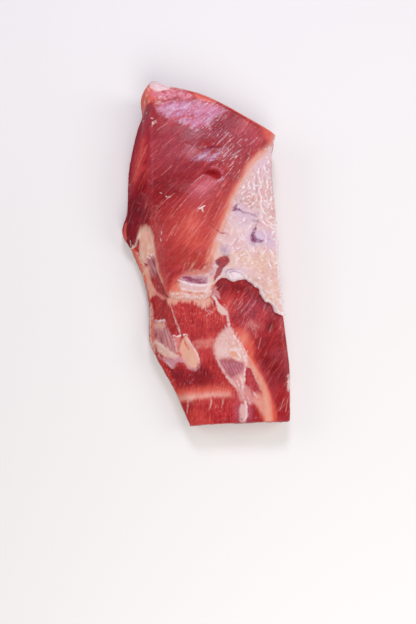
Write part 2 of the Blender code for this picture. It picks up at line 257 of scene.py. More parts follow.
def slabTop(x, y):
    rim = station(form["slabRim"], y)
    plateau = station(form["slabTop"], y)
    fromLeft = distanceTo(side["left"], x, y)
    height = rim + (plateau - rim) * shoulder(fromLeft / station(form["slabShoulder"], y))
    height -= bareEdge(form["bareSlabEdge"], y) * roundedDown(distanceTo(side["sawn"], x, y))
    height -= roundedDown(distanceTo(side["thinEnd"], x, y))
    pastFat = fatEdgeY(x) - y
    start, width = form["reliefFade"]
    return height + swellings(form["slabSwellings"], x, y) * ease((pastFat - start) / width)


def fatLevel(x, y, slab):
    start, stop = form["fatGrowth"]
    full = mix(form["fatUnderMuscle"], station(form["fatThickness"], y), ease((x - start) / (stop - start)))
    full = full * ease(distanceTo(side["left"], x, y) / form["fatTaper"])
    return slab + clearance + full + swellings(form["fatSwellings"], x, y)


def fatTop(x, y, slab):
    edge = distanceTo(side["fatLower"], x, y)
    start, width = form["leftPart"]
    toLeft = ease((start - x) / width)
    roundWidth = mix(form["edgeRoundWidth"], form["leftRoundWidth"], toLeft)
    blunt = 1 - np.clip(edge / roundWidth, 0, 1) ** 0.5
    thickness = fatLevel(x, y, slab) - slab - clearance
    edgeThickness = mix(form["fatEdge"], form["leftFatEdge"], toLeft)
    thickness = thickness - blunt * np.maximum(thickness - edgeThickness, 0)
    thickness -= bareEdge(form["bareFatEdge"], y) * roundedDown(distanceTo(side["sawn"], x, y))
    atEdge = toLeft * (1 - ease(edge / form["leftEdgeWidth"]))
    least = mix(form["thinEdge"], form["leftThinEdge"], atEdge)
    return slab + mix(clearance, form["leftClearance"], atEdge) + np.maximum(thickness, least)


def muscleTop(x, y, under, freeEdge):
    rim = station(form["muscleRim"], y)
    plateau = station(form["muscleTop"], y)
    fromLeft = distanceTo(side["left"], x, y)
    full = rim + (plateau - rim) * shoulder(fromLeft / station(form["muscleShoulder"], y))
    full += swellings(form["muscleSwellings"], x, y) - roundedDown(distanceTo(side["thickEnd"], x, y))
    feather = shoulder(freeEdge / form["muscleFeather"])
    thin = form["thinEdge"] * ease(freeEdge / form["muscleEdgeWidth"])
    return under + thin + np.maximum(full - under - form["thinEdge"], 0) * feather


# each coat is laid over what is there, by a mask in the plan view; the numbers after
# the points of a stroke are its width, soft edge, ragged edge and strength, and those
# after the points of an area the same without a width
coats = ["tone", "warm", "film", "fat", "cream", "stain", "white", "rows", "wet"]


def newSheet(x, y, **start):
    sheet = {"x": np.ravel(x), "y": np.ravel(y), "lift": np.zeros(np.size(x))}
    for coat in coats:
        sheet[coat] = np.full(np.size(x), float(start.get(coat, 0)))
    return sheet


def lay(sheet, where, mask, paint):
    for coat, value in paint.items():
        if coat == "lift":
            sheet["lift"][where] += value * mask
        else:
            sheet[coat][where] += (value - sheet[coat][where]) * mask


def layAll(sheet, mask, **paint):
    lay(sheet, slice(None), mask, paint)


def around(sheet, path, reach):
    low = path.min(axis=0) - reach
    high = path.max(axis=0) + reach
    x, y = sheet["x"], sheet["y"]
    return np.flatnonzero((x > low[0]) & (x < high[0]) & (y > low[1]) & (y < high[1]))


def line(sheet, points, width, soft=0.6, ragged=0.0, strength=1.0, gaps=0.6, **paint):
    # a stroke; width is one number or (at the start, at the end); a ragged one wanders and breaks
    path = smoothPath(points, max(6, 6 * len(points)))
    widths = np.array(width if isinstance(width, tuple) else (width, width), float) / 2
    where = around(sheet, path, widths.max() + soft + ragged)
    if len(where) == 0:
        return
    x, y = sheet["x"][where], sheet["y"][where]
    away, share = nearest(path, x, y)
    half = np.interp(share, np.linspace(0, 1, len(widths)), widths)
    half = half * np.clip(6 * np.minimum(share, 1 - share) + 0.35, 0, 1)
    if ragged:
        half = half + ragged * softNoise(x / 0.9 + 40, y / 0.9, len(points))
        strength = strength * np.clip(0.85 + gaps * softNoise(x / 1.6, y / 1.6 + 9, 74), 0, 1)
    lay(sheet, where, strength * ease((half + soft - away) / (soft + 1e-6)), paint)


def area(sheet, points, soft=1.0, ragged=0.0, strength=1.0, grainAngle=None, **paint):
    # a closed patch; its edge wanders by the ragged amount, along the grain if given
    path = smoothPath(points, 8 * len(points), closed=True)
    where = around(sheet, path, soft + 2 * ragged)
    if len(where) == 0:
        return
    x, y = sheet["x"][where], sheet["y"][where]
    away = nearest(path, x, y)[0]
    depth = np.where(inside(path, x, y), away, -away)
    if ragged and grainAngle is None:
        depth = depth + ragged * (0.6 * softNoise(x / 2.2, y / 2.2, 71) + 0.6 * softNoise(x / 0.9, y / 0.9,
                                  72))
    elif ragged:
        depth = depth + 1.4 * ragged * fibres(x, y, grainAngle, 0.8, 9, 73)
    lay(sheet, where, strength * ease((depth + soft) / (2 * soft)), paint)


def spot(sheet, centre, radii, turn=0, strength=1.0, **paint):
    # a soft round spot
    radii = np.array(radii if isinstance(radii, tuple) else (radii, radii), float)
    where = around(sheet, np.array([centre], float), 2.5 * radii.max())
    if len(where) == 0:
        return
    x = sheet["x"][where] - centre[0]
    y = sheet["y"][where] - centre[1]
    c, s = math.cos(math.radians(turn)), math.sin(math.radians(turn))
    far = ((x * c + y * s) / radii[0]) ** 2 + ((-x * s + y * c) / radii[1]) ** 2
    lay(sheet, where, strength * np.exp(-far), paint)


def lines(sheet, paths, *stroke, **paint):
    for points in paths:
        line(sheet, points, *stroke, **paint)


def spots(sheet, places, radii, **paint):
    for place in places:
        spot(sheet, place, radii, **paint)


def fold(sheet, points, width=0.9, height=0.6, share=0.95, gaps=1.0):
    # a raised crease of fat: its white crest is partly painted highlight, and its darker foot is painted
    # shade
    foot = [(px + 0.7, py - 0.6) for px, py in points]
    line(sheet, foot, 1.2 * width, 0.8, 0.4, 0.75 * share, warm=0.6, film=0.1, fat=0.62, white=0, rows=0,
         lift=-0.35)
    line(sheet, points, (0.9 * width, 0.6 * width), 0.45, 0.6, share, gaps=gaps, white=0.95, fat=1, warm=0,
         film=0, rows=0, lift=height)


def folds(sheet, paths, *crease):
    for points in paths:
        fold(sheet, points, *crease)


def oval(x, y, centreX, centreY, radiusX, radiusY):
    # 1 in an oval place, with a soft rim
    return np.exp(-(((x - centreX) / radiusX) ** 2 + ((y - centreY) / radiusY) ** 2) ** 2)


def paintStrip(s):
    # a thin muscle that comes out of the wedge and runs down on to the slab
    x, y = s["x"], s["y"]
    area(s, [(-40.6, -11), (-37.5, -9.5), (-34, -12.5), (-32.8, -21), (-29.3, -29), (-24.8, -37.6),
             (-23.6, -41.4), (-26.8, -41.4), (-32.6, -35.6), (-36.8, -27.6), (-40, -17)], 1.3, 0.7, 0.95,
         tone=0.42, film=0.02, fat=0.02, warm=0.1, white=0, stain=0, rows=0, wet=0.2, grainAngle=118)
    area(s, [(-40.6, -11), (-37.5, -9.5), (-34.6, -13), (-33.6, -20), (-35.6, -25), (-39.4, -18)], 2.0, 0.9,
         0.85, film=0.12, fat=0.32, tone=0.42, cream=0.2, grainAngle=112)
    strands = fibres(x, y, 112, 0.8, 6, 64) * oval(x, y, -36.6, -17, 4, 8)
    s["fat"] += 0.42 * strands
    s["tone"] -= 0.5 * np.clip(-strands, 0, 1)
    line(s, [(-33.2, -10), (-32, -20), (-28.4, -29), (-24.2, -37)], 0.5, 0.8, 0, 0.7, warm=1.0, tone=0.8,
         fat=0.3, cream=0.9, white=0)


def vessel(s):
    # a thin vessel that runs out of the muscle on to the fat
    line(s, [(3.2, 12), (6.4, 9.8), (9.6, 7.4), (12.8, 5.5), (14.4, 5.0)], (0.25, 0.5), 0.45, 0.2, 0.85,
         tone=0.15, warm=0, fat=0.08, white=0)
    line(s, [(13.6, 5.2), (15, 4.9), (17.2, 4.9)], 0.6, 0.45, 0.1, 0.9, tone=0.45, warm=0.1, fat=0.1, white=0)


def grainBorder(y):
    # X where the slab's fibres turn, between its left and its right part
    return np.interp(y, [-129, -95, -60, -35], [42, 34, 20, 8])


def paintSlab(x, y):
    # the slab's upper face
    s = newSheet(x, y, tone=0.5, wet=0.5, cream=0.4)
    x, y = s["x"], s["y"]
    steep = fibres(x, y, 84, 1.1, 6, 11)
    slanted = fibres(x, y, 63, 0.95, 10, 13)
    rightSide = ease((x - grainBorder(y)) / 5)
    streak = mix(steep, slanted, rightSide)
    fine = mix(fibres(x, y, 80, 0.7, 1.4, 12), fibres(x, y, 63, 0.6, 4, 14), rightSide)
    s["tone"] += mix(0.10, 0.0, rightSide) + mix(0.07, 0.14, rightSide) * streak + 0.08 * fine
    s["lift"] += 0.08 * streak + 0.05 * fine
    s["tone"] += 0.10 * softNoise(x / 7, y / 9, 15) + 0.06 * softNoise(x / 3, y / 4, 20)
    # left rim
    line(s, [(-44, -24), (-39, -42), (-38.2, -58), (-37.4, -72), (-33, -82)], 1.2, 1.0, 0.3, 0.7, fat=0.5,
         cream=0.7)
    line(s, [(-50, -4), (-45.6, -12), (-42.6, -22), (-40.4, -30), (-38, -39)], (3.6, 1.6), 1.4, 0.4, 0.95,
         fat=0.9, cream=0.9, warm=0.35)
    lines(s, ([(-52.4, -1), (-49.4, -7), (-47, -12)], [(-46.2, -13), (-44.2, -19)],
              [(-43.2, -21), (-42.2, -26), (-41.4, -30)]), (2.0, 1.4), 0.6, 0.7, 1.0, gaps=1.0, tone=1.0,
          warm=0.85, fat=0.0, film=0, cream=0.9)
    line(s, [(-40.6, -32), (-39.8, -36), (-39, -40)], 1.2, 0.8, 0.4, 0.9, tone=0.82, warm=0.6, fat=0.1,
         cream=0.9)
    line(s, [(-37.2, -44), (-36.6, -52), (-36.4, -62), (-36, -70), (-34.5, -79)], (1.2, 2.2), 1.2, 0.4, 0.9,
         fat=0.7, cream=0.9, warm=0.4)
    line(s, [(-38, -46), (-37.6, -50)], 1.2, 0.8, 0.2, tone=0.8, warm=0.5, fat=0.2)
    line(s, [(-36.6, -56), (-36.2, -64), (-35.4, -72)], 1.6, 0.9, 0.3, warm=0.7, tone=0.85, fat=0.12, cream=1)
    line(s, [(-37.8, -45), (-38, -52), (-37.8, -60), (-37.2, -68), (-36.4, -75)], 0.8, 0.6, 0.4, 0.9,
         fat=0.95, cream=0.8, warm=0, white=0.12)
    area(s, [(-43, -17), (-38.6, -17), (-36.6, -27.6), (-33.6, -35), (-34.6, -38), (-37.6, -37),
             (-40, -29)], 1.0, 0.5, 0.95, fat=0.6, warm=1.0, cream=0.9, film=0, white=0)
    # strips of muscle down the left
    paintStrip(s)
    spot(s, (-41, -18.4), (1.5, 2.2), turn=-30, fat=0.85, cream=0.95, warm=0.8, tone=0.8)
    line(s, [(-35.4, -35.6), (-32, -37.4), (-27.4, -41.6)], 0.9, 1.2, 0, 0.7, tone=0.7, fat=0.35, cream=0.7,
         warm=0.6)
    area(s, [(-36, -38), (-30, -43), (-25, -44), (-19, -56), (-16.5, -66), (-24, -66), (-31, -57),
             (-35.5, -50)], 1.8, 0.8, 0.85, tone=0.47, film=0.0, fat=0, warm=0.08, wet=0.2, grainAngle=110)
    spot(s, (-26, -55), (3.6, 8), turn=20, tone=0.42, strength=0.7)
    line(s, [(-26, -42.6), (-22.6, -49), (-19.6, -57), (-16.4, -64), (-14.6, -69)], 0.7, 0.9, 0.2, 0.8,
         tone=0.34)
    line(s, [(-22, -48), (-20.6, -53), (-19, -58)], 0.45, 0.5, 0.3, 0.85, fat=0.7, cream=0.6, warm=0.3,
         lift=0.2)
    line(s, [(-19.2, -57), (-17.6, -61), (-16.2, -65), (-15.4, -68)], (1.0, 0.7), 0.6, 0.4, 0.9, fat=0.85,
         cream=0.6, lift=0.2)
    # membrane patch on the left
    area(s, [(-33.5, -60), (-28, -60), (-25, -63), (-22, -67), (-19.4, -74), (-18, -81), (-24, -82),
             (-30, -76), (-34.5, -68)], 1.4, 0.8, 0.9, film=0.10, tone=0.46, fat=0.38, cream=0.35, wet=0.2,
         lift=0.15)
    weave = fibres(x, y, 106, 0.8, 7, 28) * oval(x, y, -26, -71, 7, 9)
    s["film"] += 0.12 * weave
    s["fat"] += 0.34 * weave
    s["tone"] -= 0.4 * np.clip(-weave, 0, 1)
    line(s, [(-34, -56.4), (-31, -57.6), (-28, -57.2), (-26.6, -58.4)], 0.8, 0.6, 0.5, 0.9, fat=0.9,
         white=0.35, cream=0.3, lift=0.3)
    area(s, [(-34, -58.6), (-27, -58.8), (-26.5, -61), (-29, -63.4), (-33.6, -62)], 1.8, 1.3, 0.8, fat=0.75,
         cream=0.85, warm=0.3, lift=0.2)
    spot(s, (-32.8, -67.4), (0.9, 2.0), tone=0.35, film=0, fat=0)
    spot(s, (-31.6, -70), (1.2, 1.6), tone=0.7, warm=0.2, film=0.1, fat=0.2, strength=0.8)
    area(s, [(-34, -72), (-31, -71.6), (-28, -73.8), (-24, -78), (-20, -80.5), (-16.5, -81.6), (-17, -84.6),
             (-21, -84.6), (-26, -83), (-31, -79)], 1.6, 1.4, fat=0.9, cream=0.85, film=0, white=0.08,
         lift=0.3)
    for points, share in (([(-33, -74), (-29, -77.4), (-25, -80.8)], 0.3),
                          ([(-28, -76.4), (-23.4, -80), (-19, -82.4)], 0.25),
                          ([(-25, -82.6), (-21.4, -83.8), (-18, -83.6)], 0.35)):
        line(s, points, (0.9, 0.4), 0.9, 0.5, 0.5, gaps=1.0, fat=0.62, film=share, cream=0.5, warm=0.5,
             lift=-0.15)
    lines(s, ([(-32, -72.6), (-28.6, -75), (-25.6, -78)], [(-24, -79), (-20.6, -81.4)],
              [(-30, -78.8), (-26.6, -81.8)]), 0.5, 0.5, 0.4, 0.7, white=0.45, fat=1, lift=0.15)
    area(s, [(-32, -81), (-26, -84), (-17, -84), (-13, -83), (-12, -87), (-17, -87.5), (-19.5, -90.5),
             (-24, -89)], 1.1, 1.0, 0.85, film=0.3, fat=0.5, cream=0.0, tone=0.6, lift=0.1)
    line(s, [(-25, -87), (-22.6, -89), (-20.4, -91)], 0.5, 0.6, 0.5, 0.8, white=0.35, fat=0.6)
    area(s, [(-19, -70), (-15.2, -70), (-17, -78)], 0.9, 0.3, warm=0.45, tone=0.72, film=0.08, fat=0.25,
         cream=0.7)
    line(s, [(-19.6, -70.4), (-18.6, -75), (-17.4, -80)], 0.5, 0.6, 0.3, 0.8, fat=0.8, cream=0.3, white=0.15)
    line(s, [(-20.6, -68.4), (-17.8, -69.4), (-15.2, -68.6)], 0.5, 0.4, 0.5, fat=0.9, white=0.6, lift=0.2)
    line(s, [(-13.4, -68.4), (-11.8, -67.8), (-10.2, -69)], 0.5, 0.4, 0.5, fat=0.9, white=0.5, lift=0.2)
    # cream tongue with its vessel
    area(s, [(-11.4, -69), (-7, -76), (-3.8, -82), (-2.8, -86.6), (-4.2, -90.4), (-8, -91), (-12.2, -87.6),
             (-14.6, -82), (-16.4, -78.6), (-14, -72)], 1.0, 0.4, fat=0.70, cream=1.0, film=0, warm=1.0,
         lift=0.6)
    spot(s, (-7, -85.6), (3.4, 4), turn=20, cream=1.0, warm=0.6, fat=0.82, strength=0.7)
    line(s, [(-12, -85.6), (-9.8, -90), (-6, -92.2), (-3.2, -91.2), (-1.8, -88)], 1.3, 0.9, 0.3, 0.8,
         film=0.3, fat=0.45, cream=0.1, tone=0.6)
    line(s, [(-11.4, -69.4), (-8.4, -74), (-5.4, -78.6), (-3, -83.4), (-2.2, -88)], (0.5, 0.7), 0.6, 0.3,
         0.9, white=0.3, fat=0.95, cream=0.3, lift=0.15)
    line(s, [(-14, -68.4), (-12.9, -71.4), (-11.8, -74)], 0.7, 0.5, 0.2, 0.95, fat=0.05, warm=0.1,
         tone=0.36, white=0, lift=-0.2)
    line(s, [(-12, -73.4), (-10.8, -76.2), (-9.2, -78.6)], (0.9, 0.6), 0.5, 0.2, 0.95, fat=0.08, warm=0.5,
         tone=0.72, white=0, lift=-0.1)
    lines(s, ([(-10.4, -72), (-8.2, -75.8), (-6.4, -79)], [(-13, -79), (-11.4, -83), (-9, -87)],
              [(-6.4, -81), (-5, -84.4)]), 0.5, 0.8, 0.4, 0.5, gaps=1.0, fat=0.6, warm=0.7, cream=0.8,
          lift=-0.12)
    # lower left
    area(s, [(-22, -91.5), (-12, -93), (-4, -93.5), (0, -97), (-2, -103), (-12, -104), (-18, -101)], 3.6,
         1.0, 0.85, tone=0.28, film=0.02, wet=0.25, grainAngle=86)
    area(s, [(-7, -91), (2, -90), (8, -96), (6, -103), (-4, -103)], 3.0, 1.2, 0.8, tone=0.24, grainAngle=86)
    line(s, [(-32, -84), (-26, -93), (-19, -105), (-13, -117), (-9, -129)], (2.2, 3.6), 1.8, 0.3, 0.9,
         tone=0.72, warm=0.12, film=0, fat=0)
    area(s, [(-14, -116), (8, -117), (12, -131), (-12, -131)], 3.0, 1.4, 0.9, tone=0.52, warm=0.0, film=0,
         grainAngle=86)
    area(s, [(-9, -120), (3, -121), (5, -131), (-10, -131)], 3.0, 1.4, 0.9, tone=0.70, warm=0.12,
         grainAngle=86)
    spot(s, (7, -124), (4, 3), tone=0.52, strength=0.6)
    # pale bands over the ribs
    line(s, [(-6, -75.5), (0, -75), (8, -73.5), (12, -73)], 2.6, 3.4, 0.8, 0.6, fat=0.4, cream=0.6,
         warm=0.3, tone=0.75)
    middle = np.interp(x, [-18, -8, 6, 22], [-112, -110.8, -110.2, -109.4])
    middle = middle + 0.9 * softNoise(x / 4.5, x * 0, 22)
    ends = ease((24 - x) / 7) * ease((x + 20) / 3)
    layAll(s, 0.85 * ends * np.exp(-((y - middle - 2.6) / 3.6) ** 2), warm=0.7, tone=0.76, film=0, white=0)
    above = np.where(y > middle, 2.4, 1.7)
    pale = np.exp(-((y - middle + 0.8 * fibres(x, y, 86, 1.1, 8, 23)) / above) ** 2)
    pale = pale * np.clip(0.88 + 0.3 * softNoise(x / 3.5, x * 0, 24), 0, 1)
    pale = pale * ends * np.interp(x, [-16, -8, 8, 20], [1, 0.9, 0.7, 0.45])
    layAll(s, pale, fat=0.74, cream=0.8, warm=1.0, film=0, white=0.05, lift=0.12)
    hanging = threads(x, y, 88, 0.8, 3.5, 27) * np.exp(-((y + 114) / 3) ** 2)
    hanging = hanging * ease((x + 14) / 4) * ease((24 - x) / 4)
    s["fat"] += 0.12 * hanging
    s["cream"] = mix(s["cream"], 0.8, hanging)
    for x0, length, width in ((-9.6, 9.5, 1.6), (6.2, 7, 0.8), (14.2, 6, 0.7)):
        line(s, [(x0, -111.6), (x0 - 0.2, -112 - length / 2), (x0 - 1.0, -112 - length)], (width, 0.1), 0.6,
             0.15, 0.75, fat=0.7, cream=0.5, warm=0.1)
    # fringe of fat that hangs from the third rib's band
    area(s, [(-26, -38), (-14, -40), (0, -40), (6, -40), (5.6, -46), (1, -49.4), (-2.8, -47), (-5.4, -45),
             (-9.4, -44.6), (-15, -44.8), (-19, -45.8), (-22.7, -46.6), (-26, -44)], 1.6, 1.6, 0.95,
         fat=0.6, cream=0.8, warm=0.9, grainAngle=84)
    fringe = threads(x, y, 84, 0.7, 3.0, 29) * ease((y + 51) / 5) * ease((x + 10) / 6) * ease((8 - x) / 3)
    s["fat"] += 0.5 * fringe
    s["cream"] = mix(s["cream"], 0.75, fringe)
    lines(s, ([(-1, -43), (0.5, -46.5), (2.6, -49)], [(3, -42), (3.6, -46), (5, -48)],
              [(-5, -43), (-5.4, -47)], [(-2.6, -43), (-2.4, -48)], [(5, -42), (7, -45), (8, -49)]),
          (0.5, 0.2), 0.4, 0.3, 0.8, fat=0.8, cream=0.7, lift=0.15)
    lines(s, ([(-14, -53.8), (-12.6, -53)], [(-9, -52), (-7.8, -52.8)], [(-5.4, -53.4), (-4.4, -52.6)],
              [(-2.6, -52.8), (-1, -52)], [(6.6, -50.4), (8, -49.4)]), 0.2, 0.4, 0.5, 0.55, tone=0.95,
          fat=0.35, cream=0.7, lift=0.1)
    spots(s, ((3.4, -51.2), (4.8, -50.8), (6.2, -51.2), (4.2, -52.8), (5.4, -53.4), (2.4, -50.4),
              (7.2, -52.2), (3.2, -54.2)), (0.5, 0.35), turn=60, white=0.3, fat=0.5, cream=0.6, lift=0.15)
    line(s, [(4.6, -52.4), (7.4, -51.6), (9, -49.4), (10.2, -46.8)], (0.5, 0.8), 0.6, 0.3, 0.8, warm=0.8,
         tone=0.8, fat=0.1)
    # small pale dots: painted glints of moisture
    dots = ease((softNoise(x / 0.75, y / 0.9, 26) - 0.66) / 0.2)
    dots = dots * ease((0.3 + softNoise(x / 6, y / 6, 21)) / 0.6)
    s["white"] += 0.10 * dots * (1 - rightSide)
    s["tone"] += 0.2 * dots
    # fascia down the middle
    area(s, [(6, -33), (9, -33), (10, -37), (12, -41), (9.4, -41), (7, -38)], 1.4, 0.8, 0.8, film=0.3,
         fat=0.4, tone=0.6)
    lines(s, ([(6.6, -36), (9.4, -36.4), (12, -38.6)], [(7.6, -38.4), (10.4, -39.4), (12.6, -42)],
              [(8, -35), (10.6, -34.4)]), (0.4, 0.1), 0.7, 0.4, 0.5, fat=0.8, cream=0.3, white=0.1,
          lift=0.1)
    line(s, [(5.5, -38), (9, -42), (11, -46.5), (14, -50), (17.5, -53.5), (18.6, -60), (20, -66)],
         (1.3, 1.1), 0.6, 0.6, fat=0.85, cream=0.3, white=0.15, lift=0.2)
    line(s, [(8, -41), (10.6, -45), (13, -47.6)], 0.5, 0.4, 0.4, 0.8, white=0.5, fat=0.9, lift=0.15)
    area(s, [(10.5, -47.5), (14, -47.5), (17.5, -52.5), (15.5, -54), (11.5, -51.5)], 0.8, 0.5, fat=0.88,
         cream=0.6, warm=0.5, white=0.15, lift=0.2)
    line(s, [(15.4, -46.4), (17.6, -50), (18.2, -54)], 0.4, 0.5, 0.4, 0.7, fat=0.6, cream=0.4)
    # kite of membrane
    area(s, [(17, -63.5), (21, -65), (24, -71), (27, -76.5), (30, -82), (33, -89), (30, -90.5), (29, -95),
             (29, -104), (28, -109), (25.5, -108), (23, -105), (18, -99), (14, -92), (10, -85.5),
             (8.5, -79), (9, -73), (12.5, -67)], 1.5, 0.9, fat=0.82, cream=0.5, film=0.03, warm=0.6,
         lift=0.35)
    for tip, foot in (((16, -61.6), (17.4, -66)), ((20.6, -62.6), (20, -67)), ((24, -66.6), (22.6, -71)),
                      ((28.6, -73), (25.6, -76)), ((31.4, -79.6), (28, -82)), ((32.8, -85), (30, -87)),
                      ((26, -69.6), (24.4, -73))):
        line(s, [foot, ((tip[0] + foot[0]) / 2 + 0.2, (tip[1] + foot[1]) / 2), tip], (1.2, 0.2), 0.7, 0.3,
             0.6, fat=0.85, cream=0.25, white=0.1, lift=0.1)
    onKite = oval(x, y, 20, -76, 9, 11)
    creases = crumples(x, y, 2.4, 18)
    s["white"] += 0.55 * creases * onKite * ease((s["fat"] - 0.5) / 0.3)
    s["film"] += 0.25 * np.clip(softNoise(x / 1.8, y / 1.8, 19), 0, 1) * onKite
    s["lift"] += 0.3 * creases * onKite
    area(s, [(10.5, -86), (15, -84.6), (20, -84.5), (26, -87), (29, -89), (28, -94), (24, -97), (20, -98.5),
             (16, -95), (12, -89)], 2.0, 0.6, 0.95, film=0.12, fat=0.08, cream=0.2, tone=0.42, warm=0,
         white=0, lift=-0.3)
    for k in range(7):
        top = (12.2 + 2.3 * k, -86.4 - 0.35 * k)
        line(s, [top, (top[0] + 2.0, top[1] - 4), (top[0] + 3.8, top[1] - 8)], (0.4, 0.6), 0.6, 0.3, 0.5,
             film=0.8, fat=0.25, cream=0.1, lift=0.2)
    area(s, [(20.6, -97.6), (26.5, -97), (26.6, -104), (24, -104)], 1.0, 0.5, 0.75, film=0.3, fat=0.3,
         tone=0.5)
    area(s, [(19.4, -80.4), (21.4, -79), (24.4, -81), (25.6, -84.4), (24, -86), (21, -83.6)], 0.7, 0.3,
         cream=1.0, warm=0.9, fat=0.6, white=0, lift=0.2)
    lines(s, ([(19, -80.6), (21.4, -78.4), (25, -80.6), (26.6, -84.6)],
              [(27, -74), (29.4, -78.6), (31.6, -84)], [(24.6, -72), (27.4, -77), (28.4, -82), (29.6, -87)],
              [(30, -82), (30.4, -88), (29.2, -94), (29, -101)], [(22, -68.6), (25.4, -73.4), (26.4, -78)],
              [(26, -97), (28, -102), (27.2, -107)], [(24, -100), (25.6, -104)]), 0.4, 0.5, 0.4, 0.8,
          fat=1.0, white=0.55, lift=0.2)
    line(s, [(20, -79), (23.5, -79.5), (26.5, -84)], 0.8, 0.6, 0.3, fat=1.0, white=0.4, lift=0.2)
    line(s, [(21, -84), (24, -84.6), (27, -86.6)], 0.6, 0.6, 0.4, 0.8, fat=0.95, cream=0.3, white=0.3,
         lift=0.2)
    spot(s, (13.4, -79.6), (4.2, 3.4), turn=-20, fat=0.95, cream=0.6, white=0.25, warm=0.3, strength=0.85)
    line(s, [(9.6, -84), (14, -92), (18, -98.4), (23, -104)], 0.9, 0.6, 0.4, fat=0.9, cream=0.4, lift=0.2)
    # glow and long fascia to its right
    area(s, [(23, -66), (29, -65), (34, -73), (35, -82), (31, -80), (27, -74)], 3.4, 0.8, warm=0.85,
         tone=0.85, strength=0.9)
    spot(s, (28.6, -71.6), (3.0, 5.4), turn=-25, fat=0.24, cream=1.0, warm=1.0)
    line(s, [(31, -74), (33, -84), (38, -95), (42.8, -107), (46.4, -118), (48, -131)], (1.4, 4.2), 3.4, 0,
         0.9, warm=0.7, tone=0.76)
    line(s, [(32, -84), (35.5, -91), (39.5, -98.5), (42.6, -106), (44.6, -114), (45.8, -131)], (0.6, 4.0),
         2.0, 0, 0.95, fat=0.36, cream=0.95, warm=0.9, lift=0.25)
    line(s, [(34.4, -89.4), (38, -97.4), (41.6, -105), (43.4, -114), (44.2, -131)], (0.6, 2.8), 1.5, 0.2,
         0.8, fat=0.52, cream=0.95, warm=0.9, white=0.02, lift=0.1)
    line(s, [(43.4, -112), (44.6, -121), (45, -131)], (0.8, 2.6), 1.8, 0.3, 0.7, fat=0.62, cream=0.9,
         warm=0.9)
    area(s, [(30.5, -91), (33.5, -91), (37, -99), (40.5, -107), (39.4, -112), (34.5, -109), (31, -100)],
         0.9, 0.5, tone=0.62, film=0.06, warm=0.0, fat=0.0, lift=-0.2)
    line(s, [(31.6, -92), (34.6, -99), (38.4, -108)], 1.2, 1.2, 0.5, tone=0.5)
    line(s, [(30.4, -90.6), (33.6, -90.8), (37, -98.4), (40.4, -106.6)], 0.6, 0.5, 0.4, 0.8, fat=0.8,
         cream=0.5, lift=0.15)
    area(s, [(25, -104), (31, -104), (35, -110), (41, -115), (36, -117), (29, -115), (25, -112)], 1.6, 0.8,
         0.85, fat=0.45, film=0.2, cream=0.5, warm=0.4)
    pale = threads(x, y, 128, 0.8, 3, 25) * oval(x, y, 31, -110, 7, 6)
    s["white"] += 0.45 * pale
    s["lift"] += 0.2 * pale
    area(s, [(35, -110.6), (42, -111), (47, -130), (43.6, -130)], 2.2, 0, 0.9, fat=0.5, cream=0.8, warm=0.9)
    area(s, [(33, -116), (37, -117.5), (43, -128), (31, -129)], 1.4, 0.7, tone=0.46, fat=0, film=0,
         grainAngle=80)
    spots(s, ((24, -121), (32.4, -121)), (2.4, 8), film=0.28, tone=0.5, strength=0.7)
    area(s, [(26.4, -115.6), (29.6, -116), (31, -120), (30, -127.4), (26, -127), (25.6, -120)], 1.1, 0.7,
         0.95, fat=0.86, cream=0.3, film=0.1, lift=0.3)
    line(s, [(29.6, -114), (30.4, -120), (29.4, -126)], 0.7, 0.5, 0.4, 0.8, white=0.5, fat=1, lift=0.2)
    spot(s, (27, -126), 0.6, fat=0, tone=0.1, lift=-0.3)
    spots(s, ((36, -111), (38.5, -112.5), (34.6, -110)), (0.9, 0.5), turn=-25, fat=0.1, white=0, tone=0.3)
    # right-hand muscle
    spot(s, (18, -47), (4, 7), tone=0.74, warm=0.12)
    spot(s, (48, -62), (4, 6), tone=0.3)
    spot(s, (43, -86), (3.5, 6), tone=0.36)
    spot(s, (55, -97), (4, 8), tone=0.3)
    spot(s, (50, -92), (8, 13), tone=0.27, film=0, wet=0.2, strength=0.85)
    spot(s, (54, -118), (6, 8), tone=0.41, wet=0.2, strength=0.75)
    # a dark band just below the fat's lower edge: partly the meat's colour, partly painted shadow of the
    # fat's edge
    area(s, [(11, -30), (22, -31), (33, -32), (40, -39), (47, -47), (54, -56), (48, -52), (38, -44),
             (28, -38), (12, -36)], 2.5, 1.2, 0.8, tone=0.28, grainAngle=62)
    scratches = threads(x, y, 58, 0.75, 3.5, 16) * rightSide * (0.35 + 0.65 * oval(x, y, 31, -52, 9, 12))
    s["tone"] += 0.2 * scratches
    s["fat"] += 0.16 * scratches
    s["warm"] += 0.1 * scratches
    # the rows coat paints highlights along the fibres, more on the right
    s["rows"] = rightSide * (0.06 + 0.22 * oval(x, y, 31, -52, 11, 13)) + (1 - rightSide) * 0.10
    s["film"] += 0.05 * rightSide * oval(x, y, 36, -54, 12, 14)
    s["film"] += 0.05 * rightSide * np.clip(softNoise(x / 7, y / 9, 30) + 0.2, 0, 1)
    dashes = threads(x, y, 86, 0.75, 2.2, 17) * (1 - rightSide)
    s["tone"] += 0.12 * dashes
    lines(s, ([(27.5, -52), (34, -43)], [(25, -50), (29, -45)], [(30, -54), (34, -49)],
              [(25, -38), (26, -36.5)], [(43, -51), (45, -46)], [(37.5, -66.5), (37, -70.5)],
              [(39, -78), (41, -70)], [(53, -120), (56, -112)], [(57, -121), (58.5, -113)],
              [(47, -66), (49, -61)], [(22, -46), (25, -42)], [(35, -48), (38, -44)]), (0.3, 0.1), 0.4, 0,
          0.5, fat=0.5, cream=0.3, white=0.1, lift=0.1)
    spot(s, (36, -61), (4.4, 2.6), turn=-24, fat=0.22, cream=0.4, warm=0.3, tone=0.7, strength=0.8)
